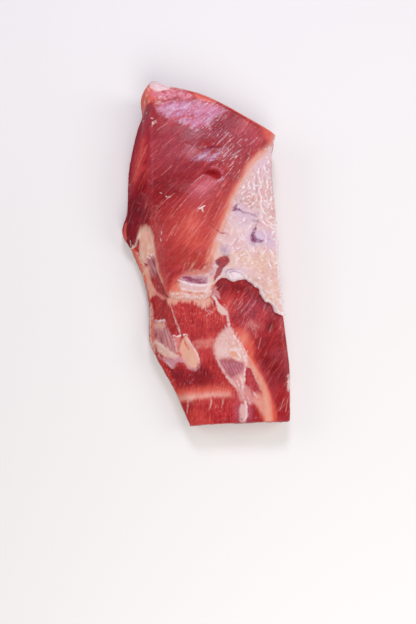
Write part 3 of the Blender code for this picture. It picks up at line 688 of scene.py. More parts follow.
    lines(s, ([(33, -60), (34.5, -63), (36, -67.5)], [(34, -57.5), (36, -61), (40, -63)],
              [(35.5, -72.6), (35.7, -74.6)], [(34.4, -59), (35, -66)], [(33.4, -62), (36.6, -64.4)],
              [(35.6, -61), (37.8, -66)]), (0.2, 0.1), 0.5, 0.3, 0.35, fat=0.5, cream=0.5, white=0.1,
          lift=0.06)
    line(s, [(59.6, -96), (59.9, -101), (59.4, -107)], 1.2, 0.6, 0.6, fat=0.85, cream=0.4, white=0.3)
    s["wet"] *= ease((distanceTo(side["left"], x, y) - 2) / 4)
    s["wet"] *= mix(0.3, 1, ease((distanceTo(side["thinEnd"], x, y) - 2) / 8)) * mix(0.5, 1,
            ease((y + 118) / 14))
    return s


def paintFat(x, y):
    # the fat cover's upper face
    s = newSheet(x, y, tone=0.6, fat=1.0, cream=0.3, wet=0.4)
    x, y = s["x"], s["y"]
    s["cream"] += 0.34 * ease((4 - y) / 22) + 0.2 * softNoise(x / 6, y / 6, 31) - 0.25 * ease((y - 48) / 14)
    s["cream"] += 0.3 * ease((-30 - x) / 8)
    shown = ease((x + 20) / 20)
    upperPart = ease((y - 6) / 10)
    sawnStrip = ease((x - 42.5) / 4) * upperPart
    lumps = 0.6 * softNoise(x / 2.6, y / 3.0, 33) + 0.6 * softNoise(x / 1.3, y / 1.5, 34)
    worms = crumples(x * 1.3, y * 0.8, 2.4, 36, 4.2) * ease((softNoise(x / 5, y / 5, 39) + 0.3) / 0.5)
    scraped = threads(x, y, 34, 0.7, 2.6, 61) * ease((8 - y) / 12)
    grainy = softNoise(x / 0.8, y / 0.9, 32)
    # lump tops and ridges painted whiter, partly painted highlight; low places warmer and darker, painted
    # shade
    s["lift"] += (0.42 * lumps + (0.16 + 0.2 * sawnStrip) * worms + 0.10 * scraped + 0.03 * grainy) * shown
    s["white"] += ((0.12 + 0.2 * sawnStrip) * worms + 0.22 * scraped + 0.5 * np.clip(lumps, 0, 1)) * shown
    patchy = 0.6 + 0.5 * np.clip(softNoise(x / 4, y / 4, 78) + 0.3, 0, 1)
    # the rows coat drives the shader's curls: painted highlight on ridges, painted shade in hollows
    s["rows"][:] = (mix(0.13, 0.42, upperPart) + 0.25 * sawnStrip) * shown * patchy
    low = np.clip(-lumps - 0.1, 0, 1) * shown
    s["film"] += 0.10 * low * upperPart
    s["warm"] += (0.28 * low + 0.10 * sawnStrip) * (1 - worms)
    s["fat"] -= (0.22 * low + 0.08 * sawnStrip) * (1 - worms)
    # lavender tint and purple stains
    for centre, radii, share in (((38, 2), (6, 6), 0.36), ((45, 2), (7, 5), 0.34),
                                 ((49.5, -2.4), (4, 5), 0.36), ((30, 13), (7, 5), 0.18),
                                 ((18, -7), (4, 3), 0.16), ((26, 22), (5, 4), 0.34),
                                 ((34, 18), (6, 2), 0.26), ((44, 62), (6, 9), 0.10),
                                 ((25, -24), (8, 3), 0.2)):
        spot(s, centre, radii, film=1.7 * share, cream=0.05, fat=1, warm=0, white=0.1, stain=0.08 * share)
    for points, width, share in (([(22.2, 24.6), (23.6, 25.4), (25, 26.4)], (1.5, 0.8), 0.8),
                                 ([(23.6, 26), (23.8, 24), (23, 22.6)], (0.9, 1.6), 0.8),
                                 ([(21.8, 22.4), (24.4, 22.8), (27.4, 21.8)], (2.3, 1.0), 0.8),
                                 ([(27, 21.8), (31, 20), (34.4, 19.4), (37.6, 18), (39, 16.6)], (0.8, 0.7),
                                  0.5), ([(35.4, 15), (38.6, 13.6), (40.8, 14.6)], (0.8, 0.5), 0.35),
                                 ([(39.6, 12.8), (38.4, 10.4), (38.4, 8.6)], 0.8, 0.35),
                                 ([(38.6, 8.4), (36.8, 5.6), (35.8, 2.4), (36, 0)], (1.2, 2.4), 0.8)):
        line(s, points, width, 0.7, 0.5, 0.9, gaps=0.7, stain=share, film=0.3, white=0, rows=0, lift=-0.15)
    line(s, [(24.4, 26), (24.8, 29), (24.2, 31)], (0.8, 0.3), 0.8, 0.4, 0.6, stain=0.5)
    area(s, [(34.8, 3.6), (37.4, 3.8), (39.6, 1.2), (43.6, -0.8), (40, -2.4), (35.2, -2)], 0.8, 0.7, 0.9,
         stain=0.9, film=0.45, white=0, rows=0, lift=-0.3)
    spot(s, (36.6, -3.6), (2.8, 1.6), turn=-10, stain=0.22, film=0.4, strength=0.8)
    area(s, [(13.5, -5.5), (17, -5), (18.2, -8), (18.4, -12), (14, -11)], 1.8, 1.0, 0.85, stain=0.42,
         film=0.36, warm=0.15)
    ragged = softNoise(x / 1.1, y / 1.1, 80)
    s["stain"] = np.clip(s["stain"] * (1 + 0.45 * ragged), 0, 1)
    # curled ridges and crumples of fat
    area(s, [(29, 29), (30.4, 33.8), (34.2, 36.4), (38.4, 35), (40.2, 30.6), (38.4, 25.4), (34.4, 23.6),
             (30.4, 25.2)], 1.4, 0.5, lift=0.9, warm=0.35, fat=0.9, cream=0.45, white=0.03, rows=0.3)
    folds(s, ([(41.6, 55), (40.8, 50.5), (41.8, 46), (42.6, 41.5), (41.6, 37.6)],
              [(49.2, 64), (49.8, 59), (48.8, 54.6), (49.6, 50)],
              [(47.2, 46), (47.4, 41), (46.2, 36), (46.8, 32)],
              [(44, 32.4), (44.8, 29.6), (46.8, 28.6), (48, 26), (46.8, 22.4)],
              [(41, 39.6), (41.5, 35.3), (43, 31), (42.2, 26.6), (43, 22.3), (45.5, 18.9), (48.9, 16.4),
               (51.6, 16.4)], [(45.4, 13.8), (48.8, 11.9), (51.2, 10.4), (53, 11.2)],
              [(45, 16.4), (47.2, 15), (49, 15.6)], [(50.4, 46), (49.8, 41), (50.6, 36)],
              [(50.2, 33), (49.4, 28), (50.6, 22)], [(38.4, 44), (37.2, 41), (38.2, 38)],
              [(34.6, 45), (33.6, 42), (34.6, 39.4)], [(46.2, 60), (45.4, 56), (46.6, 52)],
              [(30.6, 42), (29.4, 39)], [(43.8, 48), (44.6, 44)],
              [(47.5, 65), (49.1, 61.6), (47.5, 58.2), (48.3, 54.7), (47.9, 50.4)],
              [(38.2, 48.7), (37.4, 42), (40.4, 40.6)], [(44, 29), (46.6, 25.6), (48.3, 20.4), (50.6, 16)],
              [(42.4, 16.8), (44.2, 11.8), (48.2, 10), (52, 7)], [(52, 7.2), (49.2, 1.6), (51.6, -0.4)]),
          0.9, 0.6, 0.9, 1.2)
    # darker pink spots in the knob's hollows: painted shade
    for place, radii, turn in (((36.2, 29.4), (0.8, 1.7), -20), ((33, 25.6), (1.5, 0.7), 10),
                               ((31, 30), (0.6, 1.4), 20), ((40.6, 31), (0.6, 2.6), 0),
                               ((33.8, 34.2), (1.0, 0.6), 0)):
        spot(s, place, radii, turn=turn, fat=0.6, warm=0.6, tone=0.6, white=0, lift=-0.4)
    folds(s, ([(29.8, 31.4), (29.2, 28.4), (30.8, 26.6), (33.2, 26.4)],
              [(31.4, 33.2), (32.6, 35.4), (35, 35.8), (36.2, 33.8), (35.4, 31.8)],
              [(32.2, 31.6), (33.8, 32.8), (34.6, 30.8), (33.4, 29.2)],
              [(37.4, 34.4), (39, 32.2), (39.4, 29.4), (38, 27)],
              [(34.8, 28), (36.6, 26.8), (35.6, 24.6), (33.4, 24.4)], [(28.6, 34), (30, 36), (31.6, 37)]),
          0.8, 0.6, 0.75, 1.5)
    folds(s, ([(24.6, 1.4), (22.6, -1.6), (20.4, -4.6)], [(23, -8), (27, -6)], [(28, 4), (30.6, 1.6)],
              [(20, -4), (22, -6.6)], [(43, -11), (46, -7)], [(51, -19), (53, -17)], [(40, -22), (42, -24)],
              [(36, 12), (33.6, 8.4)], [(25, 12), (29, 13), (31, 16)], [(44, 6), (46, 2), (45, -3)],
              [(31, -8), (34, -12)], [(47, -16), (49, -22)], [(35, -18), (39, -17)], [(29, -16), (32, -20)],
              [(44.4, -4.4), (49, -9), (53, -13.4)], [(36, -7), (38.6, -9.4)], [(27, -12), (31, -11)],
              [(24, -16), (26.6, -13.6)], [(40, -13), (43, -16)], [(46, -28), (49, -31)],
              [(38, -27), (41, -29)]), 0.4, 0.22)
    area(s, [(22, 11), (28, 12), (34, 9), (32, 5), (25, 4)], 3.0, 1.0, 0.6, white=0.35, cream=0.3)
    for place, radii in (((34.2, 30.2), (0.7, 0.6)), ((33, 28), (0.6, 0.5)), ((35.4, 27.2), (0.7, 0.5)),
                         ((36, 24.4), (0.9, 0.5)), ((40, 24), (0.6, 0.8)), ((27.6, 29), (0.5, 1.4)),
                         ((26.4, 27), (0.5, 1.0)), ((40.6, 13), (0.8, 1.0))):
        spot(s, place, radii, turn=30, stain=0.5, white=0)
    spot(s, (52, -39.5), (1.8, 2.4), warm=0.5, fat=0.85)
    spot(s, (50.6, 58), (1.6, 12), warm=0.15)
    rim = distanceTo(side["fatLower"], x, y)
    torn = ease((1.5 + 0.8 * softNoise(x / 1.3, y / 1.3, 38) - rim) / 1.0) * ease((x - 14) / 4)
    layAll(s, 0.75 * torn, white=0.85, cream=0.15, film=0.12, rows=0, lift=0.3)
    sawnRim = ease((1.3 - distanceTo(side["sawn"], x, y)) / 0.8) * ease((22 - y) / 12)
    layAll(s, 0.7 * sawnRim, white=0.9, film=0.08, cream=0.1)
    # lean spot with its tail
    area(s, [(9.2, -15), (11, -13), (14, -12), (17.5, -11.6), (19.2, -15), (18.5, -18), (15, -20.4),
             (12, -20), (9.8, -18)], 0.7, 0.5, fat=0.03, tone=0.46, film=0.06, white=0, lift=-0.5)
    spot(s, (11.6, -16.4), (1.8, 1.6), tone=0.2)
    line(s, [(10, -19.4), (14, -21.6), (18, -19.6)], 0.7, 0.6, 0.4, 0.8, fat=0.9, white=0.4, film=0.2)
    line(s, [(7.6, -13), (7.4, -20), (6.2, -27)], 1.2, 1.4, 0.4, 0.8, film=0.4, fat=0.5, cream=0.3, tone=0.5)
    area(s, [(11.4, -19.6), (15, -20.4), (14, -24), (11, -28.5), (8.2, -29.6), (9.4, -24)], 1.0, 0.6, 0.95,
         fat=0.04, film=0.08, tone=0.42, white=0, rows=0, lift=-0.3)
    line(s, [(15.4, -20.6), (14.6, -24), (11.6, -28.4)], 0.5, 0.5, 0.3, 0.8, fat=0.9, white=0.4)
    # white flap at the ragged step
    line(s, [(16.3, -24.4), (18.5, -23.2), (21.4, -22.2)], 1.0, 0.8, 0.2, film=0.7, stain=0.4, fat=0.5)
    area(s, [(17, -25), (20, -22.8), (25, -23), (29, -25), (31.4, -27.4), (28, -29), (24, -29.6),
             (20, -29.4), (18, -27.4)], 0.8, 0.5, fat=1, cream=0.05, film=0.1, white=0.7, rows=0, lift=0.8)
    # a lavender crease across the flap: painted shade
    line(s, [(18.6, -25), (22, -24), (27, -25.4), (30, -27.4)], 0.9, 0.6, 0.3, 0.9, film=0.5, stain=0.4,
         white=0, rows=0, lift=-0.3)
    line(s, [(9.4, -30), (12, -27.6), (15, -25.8), (18, -25)], (0.8, 1.4), 0.6, 0.3, fat=1, cream=0.1,
         white=0.4, lift=0.4)
    # peach film where the muscle thins out
    beyond = distanceTo(side["muscleFading"], x, y)
    reach = np.interp(y, [-22, -9, 5, 22, 32, 50, 64, 76], [3.4, 4.0, 3.0, 2.6, 1.2, 3.4, 4.6, 1.5])
    reach = reach + 1.6 * softNoise(x / 3, y / 4, 86) + 0.8 * fibres(x, y, 60, 1, 5, 87)
    thin = ease((reach - beyond) / 3.8) * ease((y + 26) / 6)
    layAll(s, thin, warm=0.9, film=0, stain=0, white=0.03, cream=0.75, tone=0.8, rows=0)
    s["fat"] = mix(s["fat"], np.clip(0.50 + 0.2 * beyond, 0, 0.94), thin)
    vessel(s)
    # fatty margin over the third rib, red where the muscle ends
    overlap = nearest(side["muscleLower"], x, y)[0]
    blush = ease((5.5 - overlap + 1.2 * fibres(x, y, 70, 1.2, 4, 37)) / 5)
    blush = blush * ease((y + 39) / 4) * ease((x + 30) / 4) * ease((9 - x) / 3)
    layAll(s, blush, tone=0.62, warm=0.34, film=0.03, white=0, rows=0)
    s["fat"] = mix(s["fat"], mix(0.06, 0.3, ease((x + 18) / 12)), blush)
    s["cream"] = mix(s["cream"], 0.9, blush)
    area(s, [(-16, -28), (-12, -26.2), (0, -26.6), (4, -28.6), (3.6, -32), (-8, -32), (-15, -30.4)], 1.4,
         0.8, 0.9, film=0.25, stain=0.3, fat=0.38, cream=0.1, tone=0.42, warm=0.1, rows=0, white=0.1)
    line(s, [(-13.4, -28), (-8.6, -28.8), (-5, -30.2), (-1, -30.6), (1.6, -31.8)], (2.8, 2.2), 0.9, 0.8,
         0.95, gaps=0.6, fat=0.40, stain=1.0, film=0.12, tone=0.36, white=0)
    purple = fibres(x, y, -6, 1.2, 3, 88) * oval(x, y, -6, -29, 10, 3.4)
    s["stain"] = np.clip(s["stain"] + 0.6 * purple, 0, 1)
    s["white"] += 0.12 * np.clip(-purple, 0, 1)
    line(s, [(-17, -29.6), (-13, -31.2), (-9, -32.4), (-1, -33.6), (3.8, -32.8)], (0.5, 0.8), 0.5, 0.3,
         0.95, fat=1, cream=0, film=0.25, white=0.75, stain=0, lift=0.3)
    area(s, [(-17, -32.6), (-8, -34.2), (3, -34.6), (4, -37), (-10, -37.2)], 1.0, 0.6, fat=0.84, cream=0.4,
         warm=0.5, film=0.1)
    area(s, [(-24, -38), (-12, -36.8), (0, -37.4), (6, -38), (4, -44), (-25, -44)], 1.4, 0.8, cream=0.8,
         fat=0.6, warm=0.9, rows=0.3)
    line(s, [(-14.6, -35.8), (-8, -37.2), (-3, -37.8), (3, -37.2)], 0.4, 0.5, 0.4, 0.9, white=0.6, fat=1,
         lift=0.15)
    line(s, [(-10, -38.6), (-4, -39.2), (0.4, -38.9)], 0.5, 0.7, 0.4, 0.8, warm=0.5, tone=0.6, fat=0.2)
    area(s, [(-22.6, -34), (-18, -32.8), (-15.4, -35), (-16, -37.4), (-20, -38), (-23, -36.6)], 1.2, 0.9,
         0.8, warm=0.9, tone=0.78, fat=0.14, cream=0.9, rows=0)
    line(s, [(4.4, -29.6), (4.4, -33), (3.8, -36.4)], 0.7, 0.6, 0.4, fat=1, cream=0.2, white=0.4, lift=0.15)
    line(s, [(7.4, -32.6), (6.6, -36), (4.6, -38.6), (1.8, -41.4)], (0.8, 1.2), 0.6, 0.2, warm=1.0,
         fat=0.12, tone=0.85, lift=0.2)
    line(s, [(-1, -40), (1, -41.6), (3, -40.6)], 0.8, 0.6, 0.5, fat=1, white=0.5, lift=0.3)
    lines(s, ([(-21, -39.4), (-15, -39.2), (-9.4, -40.4)], [(-18.4, -41.8), (-11.6, -41.2), (-5, -42.2)],
              [(-6, -40.6), (-1.6, -42.4), (2.6, -42.2)]), 0.4, 0.6, 0.5, 0.7, gaps=1.2, white=0.5, fat=1,
          cream=0.4, lift=0.2)
    lines(s, ([(-20, -40.6), (-13.4, -40.4)], [(-10.6, -42), (-6.6, -41.4)], [(-3.6, -38.6), (0.6, -40)]),
          0.5, 0.7, 0.5, 0.6, gaps=1.2, warm=0.8, tone=0.7, fat=0.35, lift=-0.15)
    lines(s, ([(4.6, -37.8), (6, -37.2)], [(6, -39), (7.6, -38.8)], [(3.4, -39.6), (5, -40.4)],
              [(1, -37.4), (2.6, -38.4)]), 0.4, 0.35, 0.3, 0.8, fat=1, white=0.7, lift=0.2)
    # wedge at the left side, and the purple strip that starts in it
    area(s, [(-48, -10), (-46, 8), (-42, 11), (-36, 5), (-34, -6), (-37, -12)], 2.4, 0.6, 0.95, warm=1.0,
         tone=0.9, fat=0.74, cream=1.0, white=0.06, rows=0, wet=0.1)
    mottled = softNoise(x / 2.2, y / 3.2, 89) * ease((-34 - x) / 2)
    s["fat"] += 0.16 * mottled
    s["white"] += 0.12 * np.clip(mottled, 0, 1)
    line(s, [(-47.6, 4), (-47.4, -6), (-45, -14)], 2.2, 1.2, 0.4, 0.9, warm=0.8, tone=0.85, fat=0.1)
    paintStrip(s)
    spots(s, ((-40.2, -9.4), (-38.6, -10.6), (-39.4, -7.6), (-37.2, -9)), (0.7, 0.6), fat=1, white=0.75,
          lift=0.25)
    return s


def rightPart(x, y):
    # share of the top muscle's right part, where its fibres stand steeper
    return ease((x - mix(4, 22, ease((y - 10) / 60))) / 14)


def paintMuscle(x, y):
    # the top muscle's upper face; under its thin places the fat shows
    s = paintFat(x, y)
    ground = {coat: s[coat].copy() for coat in coats}
    s["lift"][:] = 0
    x, y = s["x"], s["y"]
    lower = nearest(side["muscleLower"], x, y)[0]
    fading = nearest(side["muscleFading"], x, y)[0]
    wander = fibres(x, y, 60, 1.4, 8, 41)
    fadeWidth = np.interp(y, [-30, -10, 10, 45, 83], [4.4, 4, 4, 3.4, 2.2])
    lean = ease((fading + 1.1 * wander + 1.4) / fadeWidth)
    lowerFade = np.interp(x, [-54, -46, -40, -34, -26, -20, -8, 8], [0.5, 4, 4.4, 1.8, 0.8, 1.2, 3.6, 4])
    fromLower = lower + 1.2 * fibres(x, y, 74, 1.3, 7, 44) + mix(-0.2, 0.9, ease((x + 22) / 6))
    lean = np.minimum(lean, ease(fromLower / lowerFade))
    s["fat"] = (1 - lean) * ground["fat"]
    s["cream"] = mix(ground["cream"], 0.85, lean)
    for coat in ("film", "stain", "white"):
        s[coat] = ground[coat] * (1 - lean)
    upper = fibres(x, y, 47, 0.95, 14, 43)
    lowerRight = fibres(x, y, 58, 0.95, 14, 45)
    fine = fibres(x, y, 49, 0.6, 4, 47)
    slope = fibres(x, y, 66, 1.2, 8, 49)
    toRight = rightPart(x, y)
    onSlope = ease((-37 - x) / 3)
    streak = mix(mix(upper, lowerRight, toRight), slope, onSlope)
    broad = mix(fibres(x, y, 44, 3.0, 34, 77), fibres(x, y, 58, 2.4, 30, 79), toRight)
    s["tone"][:] = 0.50 + 0.08 * streak + 0.06 * fine + 0.13 * broad
    s["lift"] += (0.06 * streak + 0.04 * fine + 0.12 * broad) * lean
    s["tone"] += 0.05 * softNoise(x / 11, y / 11, 51)
    s["wet"][:] = 0.6
    s["warm"][:] = 0.0
    # broad colour of the sheet
    spot(s, (-6, 6), (24, 22), tone=0.66, warm=0.14, strength=0.9)
    spot(s, (-8, 9), (7, 11), turn=-25, tone=0.82, warm=0.45, film=0.04, strength=0.85)
    spot(s, (-4, -4), (8, 5), tone=0.76, warm=0.42, strength=0.7)
    spot(s, (-6, -16), (12, 7), tone=0.46, warm=0.30, strength=0.9)
    spot(s, (1, 39), (12, 6), turn=45, tone=0.82, warm=0.05, film=0.30, strength=0.9)
    spot(s, (10, 30), (7, 12), turn=-30, tone=0.60, warm=0.05, strength=0.7)
    spot(s, (-28, 38), (15, 14), tone=0.29, film=0.0, wet=0.15, strength=0.9)
    spot(s, (-22, 48), (18, 9), turn=35, tone=0.30, strength=0.8)
    spot(s, (-8, 54), (18, 7), turn=20, tone=0.40, film=0.04, strength=0.8)
    spot(s, (-22, 74), (15, 22), tone=0.42, film=0.09)
    spot(s, (34, 80), (14, 8), turn=-35, tone=0.58, film=0.10)
    bandWidth = np.interp(y, [-20, 20, 45, 60, 80], [4.4, 4.8, 3.4, 2.6, 1.6])
    band = np.exp(-((fading + 1.2 * wander) / bandWidth) ** 2) * ease((76 - y) / 10)
    s["warm"] = mix(s["warm"], 0.8, 0.9 * band)
    s["tone"] = mix(s["tone"], 0.86, 0.65 * band)
    s["fat"] += (0.16 * band + 0.4 * np.exp(-(fading / 2.2) ** 2)) * lean
    soft = np.exp(-((lower - 1) / 1.8) ** 2) * ease((x + 49) / 3) * ease((-16 - x) / 5)
    s["warm"] = mix(s["warm"], 0.6, 0.6 * soft)
    s["tone"] = mix(s["tone"], 0.78, 0.5 * soft)
    for place, radii, turn, share in (((-16, 41), (18, 12), 20, 0.2), ((12, 87), (14, 9), 30, 0.1),
                                      ((-24, 78), (14, 18), 0, 0.2), ((18, 84), (16, 10), -30, 0.15),
                                      ((-6, -14), (14, 9), 0, 0.3)):
        spot(s, place, radii, turn, wet=share)
    # left slope: darker, partly its own colour and partly painted shade, as it faces away from the light
    area(s, [(-62, -2), (-50, 0), (-43, 8), (-38, 20), (-41, 30), (-48, 38), (-62, 38)], 5.0, 1.6, 0.9,
         tone=0.22, film=0.05, grainAngle=66)
    area(s, [(-62, 40), (-49, 45), (-44, 60), (-43, 80), (-41, 108), (-60, 108)], 4.0, 1.6, 0.85, tone=0.47,
         film=0.13, grainAngle=70)
    line(s, [(-39.6, 84), (-38.6, 66), (-38.4, 44), (-39.6, 26)], 2.4, 2.2, 0, 0.5, tone=0.40, film=0.08,
         warm=0)
    line(s, [(-59, 22), (-58.6, 40), (-57.4, 60), (-53.4, 85), (-49, 102)], 2.4, 2.0, tone=0.42, film=0)
    # a lighter belly on the slope, partly painted light where it catches the lamp
    area(s, [(-53, 48), (-44.6, 52), (-42.6, 66), (-44, 82), (-49.4, 72)], 4.0, 2.0, 0.9, tone=0.86, warm=0,
         film=0.03, grainAngle=66)
    area(s, [(-48, 106), (-41, 108), (-39, 92), (-43, 85), (-50, 86)], 2.5, 1.2, 0.8, tone=0.44, film=0.12)
    line(s, [(-42, 107), (-41.4, 103), (-42.4, 99), (-44.6, 94)], (2.4, 3.0), 1.4, 0.5, 0.95, tone=0.22,
         film=0.14)
    line(s, [(-58.6, 5), (-58.6, 12), (-57.6, 18)], 1.8, 1.2, tone=0.8, warm=0.4)
    line(s, [(-39.2, 88), (-37.4, 68), (-36.2, 44), (-36.4, 21), (-36.6, 8)], 0.4, 0.8, 0.4, 0.25, tone=0.7,
         film=0.1, lift=0.1)
    s["wet"] *= 1 - mix(0.9, 1, ease((-44 - x) / 3)) * onSlope
    s["tone"] += 0.10 * fibres(x * 1.5, y, 62, 0.8, 7, 98) * onSlope
    s["fat"] += 0.10 * threads(x * 1.3, y, 60, 0.8, 5, 99) * onSlope
    specks = ease((softNoise(x / 0.8, y / 0.9, 58) - 0.55) / 0.2) * onSlope * ease((-45 - x) / 5)
    s["white"] += 0.3 * specks * ease((2.5 - distanceTo(side["left"], x, y)) / 2)
    # the corner at the thick end
    area(s, [(-50, 107), (-43.6, 106), (-38, 108), (-34, 112), (-37, 119), (-42, 131), (-50, 122)], 2.0,
         0.8, 0.95, tone=0.98, warm=0.45, film=0.0, wet=0.1, lift=0.3)
    spot(s, (-44, 117), (2.2, 6), tone=1.0, warm=0.35, film=0.03, lift=0.4)
    # a violet-pink band above the sheen: partly the meat's colour, partly painted reflection
    line(s, [(-38, 115), (-30, 113.6), (-20, 116), (-10, 113)], 5.0, 3.0, 0.8, tone=0.88, warm=0.15,
         film=0.46)
    # puckers near the corner: raised tops painted lighter as painted highlight, lilac blotches as painted
    # glints
    nearCorner = oval(x, y, -34, 112, 13, 7)
    puckers = crumples(x * 0.7, y, 3.0, 62, 2.6)
    s["lift"] += 0.45 * (puckers - 0.4) * nearCorner
    s["tone"] += 0.12 * puckers * nearCorner
    s["film"] += 0.25 * np.clip(softNoise(x / 2.5, y / 2, 63), 0, 1) * nearCorner
    area(s, [(-41, 128.6), (-40.2, 121), (-35.6, 117), (-29, 117.6), (-24, 120), (-21, 122), (-32, 127)],
         0.8, 0.6, fat=0.95, cream=0.2, film=0.06, warm=0, white=0.2, lift=0.15)
    line(s, [(-40.6, 127.4), (-35, 125.6), (-28, 123), (-22, 121.4)], 1.4, 0.7, 0.6, 0.9, white=0.6,
         fat=0.9, lift=0.2)
    for place, radii in (((-41.4, 119), (0.6, 1.6)), ((-42.2, 113.4), (0.7, 1.0)),
                         ((-40.8, 108.6), (0.8, 1.1)), ((-44.6, 111), (0.5, 0.9))):
        spot(s, place, radii, turn=20, fat=0.4, white=0.25, cream=0.5)
    for place, radii in (((-42.4, 106.4), (0.7, 1.2)), ((-40.6, 104.6), (0.6, 0.8)),
                         ((-43, 103), (0.6, 1.4)), ((-41.6, 109), (0.5, 0.6))):
        spot(s, place, radii, turn=-30, tone=0.15, warm=0, fat=0, white=0)
    line(s, [(-24, 121.4), (-15, 119.4)], (2.4, 1), 1.2, 0.4, 0.8, fat=0.5, cream=0.4)
    thick = distanceTo(side["thickEnd"], x, y)
    rimGlow = ease((1.9 - thick + 0.5 * softNoise(x / 2.4, y / 2.4, 52)) / 1.3) * ease((x + 32) / 8)
    s["warm"] = mix(s["warm"], 0.62, rimGlow)
    s["tone"] = mix(s["tone"], 0.86, rimGlow)
    area(s, [(-7, 116.6), (8, 110.5), (9.4, 107), (3, 107), (-4, 110)], 1.2, 0.6, warm=0.6, tone=0.85,
         film=0, lift=0.35)
    area(s, [(44, 90), (57, 83), (54, 75), (48, 78)], 3.0, 1.0, 0.85, warm=0.55, tone=0.88)
    spots(s, ((-32.5, 112.5), (-29, 112), (-28.4, 110.6), (-40.5, 117)), (0.8, 0.5), turn=50, fat=1,
          cream=0.1, lift=0.2)
    area(s, [(-35.4, 108.6), (-32, 109.4), (-30.4, 107), (-33, 104.8), (-35.4, 105.4)], 1.2, 0.7, 0.7,
         fat=0.34, cream=0.6, warm=0.5, lift=0.3)
    line(s, [(-34, 104), (-29, 104.4), (-23, 107), (-18, 108)], 0.8, 0.9, 0.3, tone=0.5, warm=0.15,
         lift=-0.25)
    # painted reflection: a purple-pink sheen painted into the colour, grainy and drawn out along the fibres
    film = s["film"].copy()
    s["stain"] *= 1 - lean
    area(s, [(-33, 104), (-26, 107), (-14, 109), (-2, 107.4), (12, 104), (18, 97), (8, 91), (2, 87),
             (-6, 83), (-10, 88), (-20, 93), (-30, 97)], 4.0, 1.2, 0.92, film=0.72, tone=0.72, warm=0,
         grainAngle=38, stain=0.35)
    area(s, [(-10, 60), (-6, 63.5), (2, 70), (9, 70.6), (7, 66), (3, 61), (-3, 58.4)], 1.8, 2.2, 0.75,
         film=0.38, tone=0.40, stain=0.9, grainAngle=47)
    area(s, [(3, 60), (8, 65), (14, 72.5), (13.4, 66), (9, 60), (6, 57.6)], 1.4, 2.0, 0.75, film=0.40,
         tone=0.42, stain=0.95, grainAngle=50)
    area(s, [(-17, 63), (-12, 66), (-4, 74), (-7, 72), (-13, 66)], 1.6, 2.0, 0.55, film=0.38, tone=0.44,
         stain=0.8, grainAngle=50)
    area(s, [(12, 78), (22, 84), (38, 76), (30, 64), (16, 58), (14, 66)], 5.0, 2.0, 0.6, film=0.08,
         tone=0.46, grainAngle=50)
    # the sheen's white sparkle and waves are painted glints
    gained = ease((s["film"] - film) / 0.3)
    waves = fibres(x, y, 36, 2.4, 7, 59)
    sparkle = 0.5 * softNoise(x / 0.62, y / 0.62, 53) + 0.5 * fibres(x, y, 40, 0.7, 2.4, 54)
    s["film"] += (0.34 * sparkle + 0.30 * waves) * gained
    s["lift"] += 0.18 * waves * gained
    s["white"] += (0.7 * np.clip(sparkle - 0.15, 0, 1) + 0.25 * np.clip(waves, 0, 1)) * gained
    s["lift"] += 0.08 * sparkle * gained
    line(s, [(-18, 94.0), (-13, 95.2), (-7, 95.8)], (1.1, 0.5), 0.6, 0.2, tone=0.68, warm=0.28, film=0.05,
         lift=-0.35)
    line(s, [(-10, 92), (-4, 94), (2, 97)], 0.5, 0.7, 0.2, 0.6, tone=0.6, warm=0.2, film=0.3, lift=-0.2)
    line(s, [(-26, 100), (-18, 99), (-10, 101)], 0.5, 0.7, 0.2, 0.6, tone=0.6, warm=0.1, film=0.35, lift=-0.2)
    line(s, [(-12, 104.6), (-2, 103), (8, 105)], 0.5, 0.7, 0.2, 0.6, tone=0.6, warm=0.2, film=0.35, lift=-0.2)
    area(s, [(-38.8, 94.6), (-36.8, 94.3), (-37.6, 93.4)], 0.35, 0.3, 0.5, white=0.7, fat=0.5, lift=0.15)
    area(s, [(-37.6, 91.2), (-36.6, 91), (-37, 88.8), (-37.8, 86.8), (-37.7, 89)], 0.35, 0.4, 0.75,
         white=0.75, fat=0.5, lift=0.15)
    lines(s, ([(-36.4, 91.2), (-34.6, 92.2)], [(-37, 89), (-35.4, 90.4)], [(-35.4, 91.6), (-34.4, 90.4)],
              [(-45.6, 95.4), (-44.4, 94.8)], [(-43, 101), (-42.2, 99.6)]), (0.6, 0.3), 0.35, 0.4, 0.8,
          fat=0.6, white=0.6, lift=0.2)
    # brown-purple zone, hatched with bright threads that are painted glints along the fibres
    area(s, [(0, 76), (10, 75), (18, 82), (26, 92), (20, 100), (12, 98), (4, 88)], 4.0, 2.0, 0.9, tone=0.36,
         film=0.06, warm=0, grainAngle=45)
    area(s, [(-13, 73), (-3, 74), (1, 84), (-6, 86), (-13, 80)], 3.0, 1.5, 0.9, tone=0.34, film=0.1,
         grainAngle=47)
    hatch = oval(x, y, 12, 84, 12, 11)
    slant = math.radians(47)
    across = -x * math.sin(slant) + y * math.cos(slant)
    comb = np.sin(2 * math.pi * across / 1.75 + 1.2 * softNoise(x / 5, y / 5, 55))
    beads = 0.6 * ease((comb - 0.2) / 0.6) * ease((fibres(x, y, 47, 0.8, 1.6, 56) + 0.25) / 0.5)
    s["film"] = mix(s["film"], 0.85, 0.5 * hatch * beads)
    s["white"] += 0.08 * hatch * beads
    s["lift"] += 0.1 * hatch * beads
